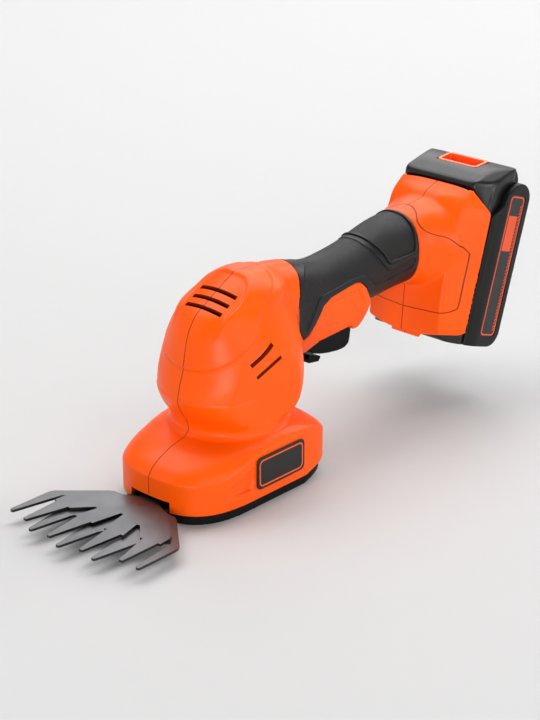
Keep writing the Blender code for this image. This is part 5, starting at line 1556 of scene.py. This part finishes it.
@dataclass
class Battery:
    """The slide pack: black front with its hood, charcoal sides, labels and button.

    Everything is laid out in the foot's tilted frame: x across, y to the rear, z along
    the slide.

    Attributes:
        finishes: the finishes.
        half_front: half width of the front shell.
        half_rear: half width of the rear shell.
        bottom: lowest z.
        top: highest z of the rear shell's corners.
        depth: highest y.
        label_depth: how deep the labels lie under the sides.
        film_mm: thickness of a label.
        ink_level: height over the recess at which its print starts.
        ink_mm: thickness of the print.
        hatch_pitch: from one stroke of the hatched strip to the next.
        slope: normal of the button's top.
    """

    finishes: Finishes
    half_front: float = 33.2
    half_rear: float = 37.5
    bottom: float = -9.8
    top: float = 93.3
    depth: float = 44.8
    label_depth: float = 0.5
    film_mm: float = 0.2
    ink_level: float = 0.18
    ink_mm: float = 0.12
    hatch_pitch: float = 2.1
    slope: tuple[float, float, float] = (0.0, -5.0, 12.7)

    def side_outline(self, corner: tuple[float, float, float]) -> Points:
        """Outline of the pack seen from the side, round at its corners.

        Args:
            corner: middle and radius of the round corner at the front of the top.

        Returns:
            Points of y and z: eight for each corner, those of the top first.
        """
        middles = ((self.depth - 10.5, self.top - 10.5, 10.5, 0), (*corner, 90),
                   (4.3, self.bottom + 4.0, 4.0, 180),
                   (self.depth - 10.5, self.bottom + 10.5, 10.5, 270))
        made = []
        for y, z, radius, start in middles:
            for angle in np.radians(start + np.linspace(0, 90, 8)):
                made.append((y + radius * math.cos(angle), z + radius * math.sin(angle)))
        return np.array(made)

    def hood(self) -> Thing:
        """The cover over the top, which slopes down to the foot.

        Returns:
            The hood.
        """
        side = np.array([
            (-1.3, 84.9), (-2.5, 87.2), (-2.0, 89.0), (2.4, 91.9), (6.0, 94.2), (9.6, 96.1),
            (13.6, 97.8), (17.6, 99.2), (21.2, 100.3), (25.0, 101.2), (30.6, 102.0), (30.6, 74.0),
            (8.2, 73.4),
        ])
        hood = slab("hood", side, -36.0, 36.0)
        plan = [(0.0, -2.7), (20.0, -2.5), (26.6, -1.6), (30.2, 4.4), (32.4, 9.6), (32.9, 14.0),
                (32.9, 40.0)]
        carved(hood, [slab("hood_plan", mirrored(plan)[1:], 70.0, 110.0, "Z")], "INTERSECT")
        for side_sign in (1, -1):
            sliced(hood, Vector((side_sign * 0.0262, 0.0122, 0.0978)),
                   Vector((side_sign * 0.599, -0.403, 0.693)))
        return fused("hood", [hood], 0.7, 10)

    def front_case(self) -> Thing:
        """Front shell with the hood, rails and the button's well.

        Returns:
            The shell.
        """
        outline = self.side_outline((19.5, self.top - 9.5, 9.5))
        lower = outline[outline[:, 1] < 60]
        outline = np.vstack([outline[:16], [(9.4, 76.0), (6.0, 77.2), (0.3, 78.0)], lower])
        body = slab("front_body", outline, -self.half_front, self.half_front)
        plan = [(25.8, 0.3), (self.half_front, 9.7), (self.half_front, 23.0)]
        carved(body, [slab("front_plan", mirrored(plan), -20.0, 100.0, "Z")], "INTERSECT")
        body = fused("front_case", [body, self.hood()], 0.65, 13)
        carved(body, [block("well", (-15.3, 11.5, 86.2), (15.3, 25.4, 120.0))])
        rails = [block("flange", (-22.5, -2.6, 1.0), (22.5, -0.7, 60.0)),
                 block("rail_neck", (-18.0, -1.2, 2.0), (18.0, 2.0, 59.0))]
        return carved(body, rails, "UNION")

    def rear_case(self) -> Thing:
        """Rear shell: sides with a long eased front edge and a recess for each label.

        Returns:
            The shell.
        """
        outline = self.side_outline((33.5, self.top - 13.5, 13.5))
        front = [(20.0, 79.0), (12.0, 70.0), (0.3, 60.0)]
        outline = np.vstack([outline[:16], front, outline[16:]])
        body = slab("rear_body", outline, -self.half_rear, self.half_rear)
        plan = [(34.4, 13.0), (36.2, 15.8), (37.1, 18.8), (self.half_rear, 22.0),
                (self.half_rear, 50.0)]
        carved(body, [slab("rear_plan", mirrored(plan), -20.0, 100.0, "Z")], "INTERSECT")
        middle = block("middle", (-33.5, -5.0, -30.0), (33.5, 23.3, 120.0))
        under = block("under_hood", (-33.5, 0.0, 84.0), (33.5, 30.9, 120.0))
        carved(body, [middle, under])
        rounded_end = np.array([(31.0, 80.0), (31.0, 101.8), (34.5, 101.4), (38.3, 99.0),
                                (40.8, 95.4), (42.0, 90.0), (42.0, 80.0)])
        body = fused("rear_case", [body, slab("end", rounded_end, -28.6, 28.6)], 0.6, 7)
        for side in (1, -1):
            span = sorted((side * (self.half_rear - self.label_depth), side * 45.0))
            carved(body, [slab("recess", rounded_outline((23.6, -3.4), (40.0, 86.2), 3.6), *span)])
        return body

    def label(self, side: int) -> list[Thing]:
        """A label: dark film with an orange line, a plain field and a hatched strip.

        Args:
            side: one for the left side, minus one for the right.

        Returns:
            The film and the print.
        """
        deep = side * (self.half_rear - self.label_depth)
        film = slab("film", rounded_outline((23.8, -3.2), (39.8, 86.0), 3.4),
                    *sorted((deep, deep + side * self.film_mm)))
        level = deep + side * self.ink_level
        span = sorted((level, level + side * self.ink_mm))
        line = slab("line", rounded_outline((24.6, -2.4), (39.0, 85.2), 2.8), *span)
        inner = slab("line_cut", rounded_outline((25.5, -1.5), (38.1, 84.3), 2.1), -50.0, 50.0)
        prints = [carved(line, [inner]),
                  slab("field", rounded_outline((26.4, 51.0), (35.4, 73.0), 0.4), *span)]
        for stroke in range(38):
            low = 0.4 + self.hatch_pitch * stroke
            slant = [(36.2, low), (37.8, low + 1.2), (37.8, low + 2.1), (36.2, low + 0.9)]
            prints.append(slab("hatch", np.array(slant), *span))
        return [film, pooled("print", prints)]

    def button(self) -> Thing:
        """The release button: a cup with a rim that follows the hood's slope.

        Returns:
            The cup.
        """
        cup = slab("button", rounded_outline((-14.9, 11.8), (14.9, 25.0), 2.6), 89.5, 112.0, "Z")
        sliced(cup, Vector((0, 0.0123, 0.0974)), Vector(self.slope).normalized())
        room = slab("room", rounded_outline((-13.2, 13.4), (13.2, 23.4), 1.8), 91.2, 120.0, "Z")
        sliced(room, Vector((0, 0.0135, 0.0925)), Vector((0, 0.30, -1.0)).normalized())
        return carved(cup, [room])

    def place(self, piece: Thing, name: str, slot: str, finish: Finish, *nodes: str,
              body: str = "battery") -> None:
        """Put a piece in its place and dress it.

        Args:
            piece: the piece, in the foot's frame.
            name: its name.
            slot: its material slot in the record; not used.
            finish: its finish.
            nodes: the CAD nodes it stands for.
            body: the body it rides on.
        """
        turned(piece, FOOT_PLACE)
        piece.name = name
        dress(piece, body, finish, nodes, 38.0)

    def build(self) -> None:
        """Make the pack's outside and dress it."""
        finishes = self.finishes
        self.place(self.front_case(), "battery_front_moulding", "black_nylon", finishes.hood,
                   "battery_case_front")
        self.place(self.rear_case(), "battery_rear_moulding", "charcoal_abs", finishes.case,
                   "battery_case_rear")
        for name, side in (("left", 1), ("right", -1)):
            film, prints = self.label(side)
            self.place(film, "battery_label_film_" + name, "black_nylon", finishes.film,
                       "battery_label_" + name)
            self.place(prints, "battery_label_print_" + name, "orange_abs", finishes.ink)
        cup = self.button()
        self.place(cup, "battery_button_cup", "orange_abs", finishes.button,
                   "battery_release_button", body="battery_button")
        # The rim's top faces take the lighter finish: a painted highlight along the rim
        cup.data.materials.append(finishes.rim.material())
        up = FOOT_PLACE.to_3x3() @ Vector(self.slope).normalized()
        for face in cup.data.polygons:
            face.material_index = int(face.normal.dot(up) > 0.97 and face.center.z > 0.133)


@dataclass
class Blades:
    """The comb and the cutter, with the small edge break that tumbling leaves."""

    finishes: Finishes
    edge_mm: float = 0.22

    def build(self) -> None:
        """Copy each blade from its solid, break its edges and dress it."""
        for node, body in (("fixed_blade", "tool_body"), ("moving_blade", "cutter")):
            piece = copy_of(node, node + "_ground")
            with edited(piece.data) as shape:
                bmesh.ops.dissolve_limit(
                    shape, angle_limit=0.01, verts=shape.verts, edges=shape.edges)
            edge = piece.modifiers.new("edge", "BEVEL")
            edge.width = self.edge_mm * MM
            edge.segments = 2
            edge.limit_method = "ANGLE"
            edge.angle_limit = math.radians(35)
            applied(piece)
            dress(piece, body, self.finishes.blade, (node,), 30)


@dataclass
class MouldedNodes:
    """CAD pieces that keep their form but get softly rounded edges."""

    finishes: Finishes

    def soften(self, node: str, body: str, finish: Finish, grid: float,
               passes: int) -> Thing:
        """Round a node's edges and dress it.

        Args:
            node: the CAD node.
            body: the body it rides on.
            finish: its finish.
            grid: spacing of the new skin's points in millimetres.
            passes: how often the skin is eased.

        Returns:
            The dressed piece.
        """
        piece = fused(node + "_moulding", [copy_of(node, node + "_copy")], grid, passes)
        dress(piece, body, finish, (node,), 50)
        return piece

    def build(self) -> None:
        """Soften every moulded node that shows."""
        black = self.finishes.black
        self.soften("trigger", "trigger_lever", black, 0.4, 3)
        self.soften("lock_off_button", "lock_off", black, 0.3, 2)
        self.soften("sole_cover", "tool_body", self.finishes.sole, 0.5, 3)
        for node in ("side_plate_left", "side_plate_right"):
            plate = self.soften(node, "tool_body", self.finishes.badge, 0.25, 2)
            spots = vertices(plate)[:, 1:]
            frame_line = signed_distance(spots, rounded_outline((1.9, 13.9), (37.1, 29.1), 2.6))
            mark(plate, "frame_line", frame_line)


@dataclass
class CarriedNodes:
    """CAD pieces whose shape stays, with a finish for each."""

    finishes: Finishes

    def finish_for(self, node: str) -> Finish:
        """The finish of a node, by what it is made of.

        Args:
            node: the node's name.

        Returns:
            Its finish.
        """
        slots = {entry["node"]: entry["material_slot"] for entry in frame["record"]["subparts"]}
        by_slot = {
            "orange_abs": self.finishes.button, "black_nylon": self.finishes.black,
            "charcoal_abs": self.finishes.case, "soft_rubber": self.finishes.grip,
            "blade_steel": self.finishes.blade, "zinc_steel": self.finishes.zinc,
            "sintered_steel": self.finishes.sintered, "brass": self.finishes.brass,
            "lead_insulation": self.finishes.red_lead,
            "lead_insulation_black": self.finishes.black_lead,
            "cell_wrap": self.finishes.cell, "board_green": self.finishes.board,
        }
        return by_slot[slots[node]]

    def build(self) -> None:
        """Dress every node that no new piece stands for."""
        for name, node in frame["nodes"].items():
            if node.hide_render:
                continue
            for place in node.material_slots:
                place.material = self.finish_for(name).material()
        log.info("carried nodes dressed")


@dataclass
class Studio:
    """Floor, lights and camera.

    Attributes:
        floor_colour: sRGB hex of the floor.
        floor_half: half of its side in metres.
        camera_place: the camera's place in metres.
        camera_way: the way it looks.
        lens_mm: its focal length, on a sensor 36 mm wide.
        wall_glow: strength of the world's light at the horizon.
        roof_glow: its strength overhead.
        aim: what the soft boxes face, in metres.
        distance: how far from there they stand.
        boxes: name, azimuth and elevation in degrees, size in metres and power of each.
    """

    floor_colour: str = "#C7C7C7"
    floor_half: float = 5.0
    camera_place: tuple[float, float, float] = (0.7078, -0.7269, 0.5053)
    camera_way: tuple[float, float, float] = (-0.6190, 0.6830, -0.3875)
    lens_mm: float = 100.0
    wall_glow: float = 0.65
    roof_glow: float = 0.05
    aim: tuple[float, float, float] = (0.0, 0.05, 0.07)
    distance: float = 3.3
    boxes: tuple[tuple[str, float, float, float, float], ...] = (
        ("front_low_box", -60.0, 8.0, 1.4, 51.0), ("right_low_box", 12.0, 8.0, 1.4, 24.0),
        ("right_box", -20.0, 35.0, 2.2, 25.0), ("left_front_box", -130.0, 35.0, 2.2, 10.0),
        ("rear_box", 80.0, 35.0, 2.2, 45.0), ("rear_left_box", 130.0, 35.0, 2.2, 29.0),
        ("rear_top_box", 106.0, 64.0, 1.8, 43.0), ("left_top_box", 180.0, 62.0, 2.2, 48.0),
    )

    def floor(self) -> None:
        """A wide pale floor."""
        half = self.floor_half * 1000
        sheet = block("studio_floor", (-half, -half, -20.0), (half, half, 0.0))
        finish = Finish("painted_floor", self.floor_colour, self.floor_colour, 0.8)
        sheet.data.materials.append(finish.material())

    def lamp(self, name: str, place: tuple, size: float, power: float) -> None:
        """A soft box that faces the tool.

        Args:
            name: its name.
            place: its place in metres.
            size: its diameter in metres.
            power: its power in watts.
        """
        light = bpy.data.lights.new(name, "AREA")
        light.shape = "DISK"
        light.size = size
        light.energy = power
        made = bpy.data.objects.new(name, light)
        bpy.context.scene.collection.objects.link(made)
        made.location = place
        aim = Vector(self.aim) - Vector(place)
        made.rotation_euler = aim.to_track_quat("-Z", "Y").to_euler()

    def build(self) -> None:
        """Set up the studio."""
        self.floor()
        scene = bpy.context.scene
        scene.world = bpy.data.worlds.new("studio")
        scene.world.use_nodes = True
        back = scene.world.node_tree.nodes["Background"]
        back.inputs["Color"].default_value = (1.0, 1.0, 1.0, 1.0)
        tree = scene.world.node_tree
        way = add_node(tree, "TexCoord").outputs["Generated"]
        height = add_node(tree, "SeparateXYZ", {}, {0: way})
        glow = add_node(
            tree, "MapRange", {"interpolation_type": "SMOOTHSTEP"},
            {"Value": height.outputs["Z"], "From Min": 0.05, "From Max": 0.40,
             "To Min": self.wall_glow, "To Max": self.roof_glow},
        )
        tree.links.new(glow.outputs[0], back.inputs["Strength"])
        for name, azimuth, elevation, size, power in self.boxes:
            flat, high = math.radians(azimuth), math.radians(elevation)
            reach = self.distance * math.cos(high)
            place = (reach * math.cos(flat), reach * math.sin(flat),
                     0.05 + self.distance * math.sin(high))
            self.lamp(name, place, size, power)
        scene.view_settings.view_transform = "Standard"
        lens = bpy.data.cameras.new("photo_camera")
        lens.lens = self.lens_mm
        lens.sensor_width = 36.0
        lens.clip_start = 0.01
        camera = bpy.data.objects.new("photo_camera", lens)
        scene.collection.objects.link(camera)
        camera.location = self.camera_place
        camera.rotation_euler = Vector(self.camera_way).to_track_quat("-Z", "Y").to_euler()
        scene.camera = camera
        log.info("studio ready")


def main() -> None:
    """Build every part of the scene in order."""
    logging.basicConfig(level=logging.INFO, format="%(name)s: %(message)s")
    finishes = Finishes()
    handle = Handle()
    Studio().build()
    housing = Housing(handle, finishes)
    housing.build()
    SoftGrip(handle, finishes, housing).build()
    Blades(finishes).build()
    Battery(finishes).build()
    MouldedNodes(finishes).build()
    CarriedNodes(finishes).build()


if __name__ == "__main__":
    main()
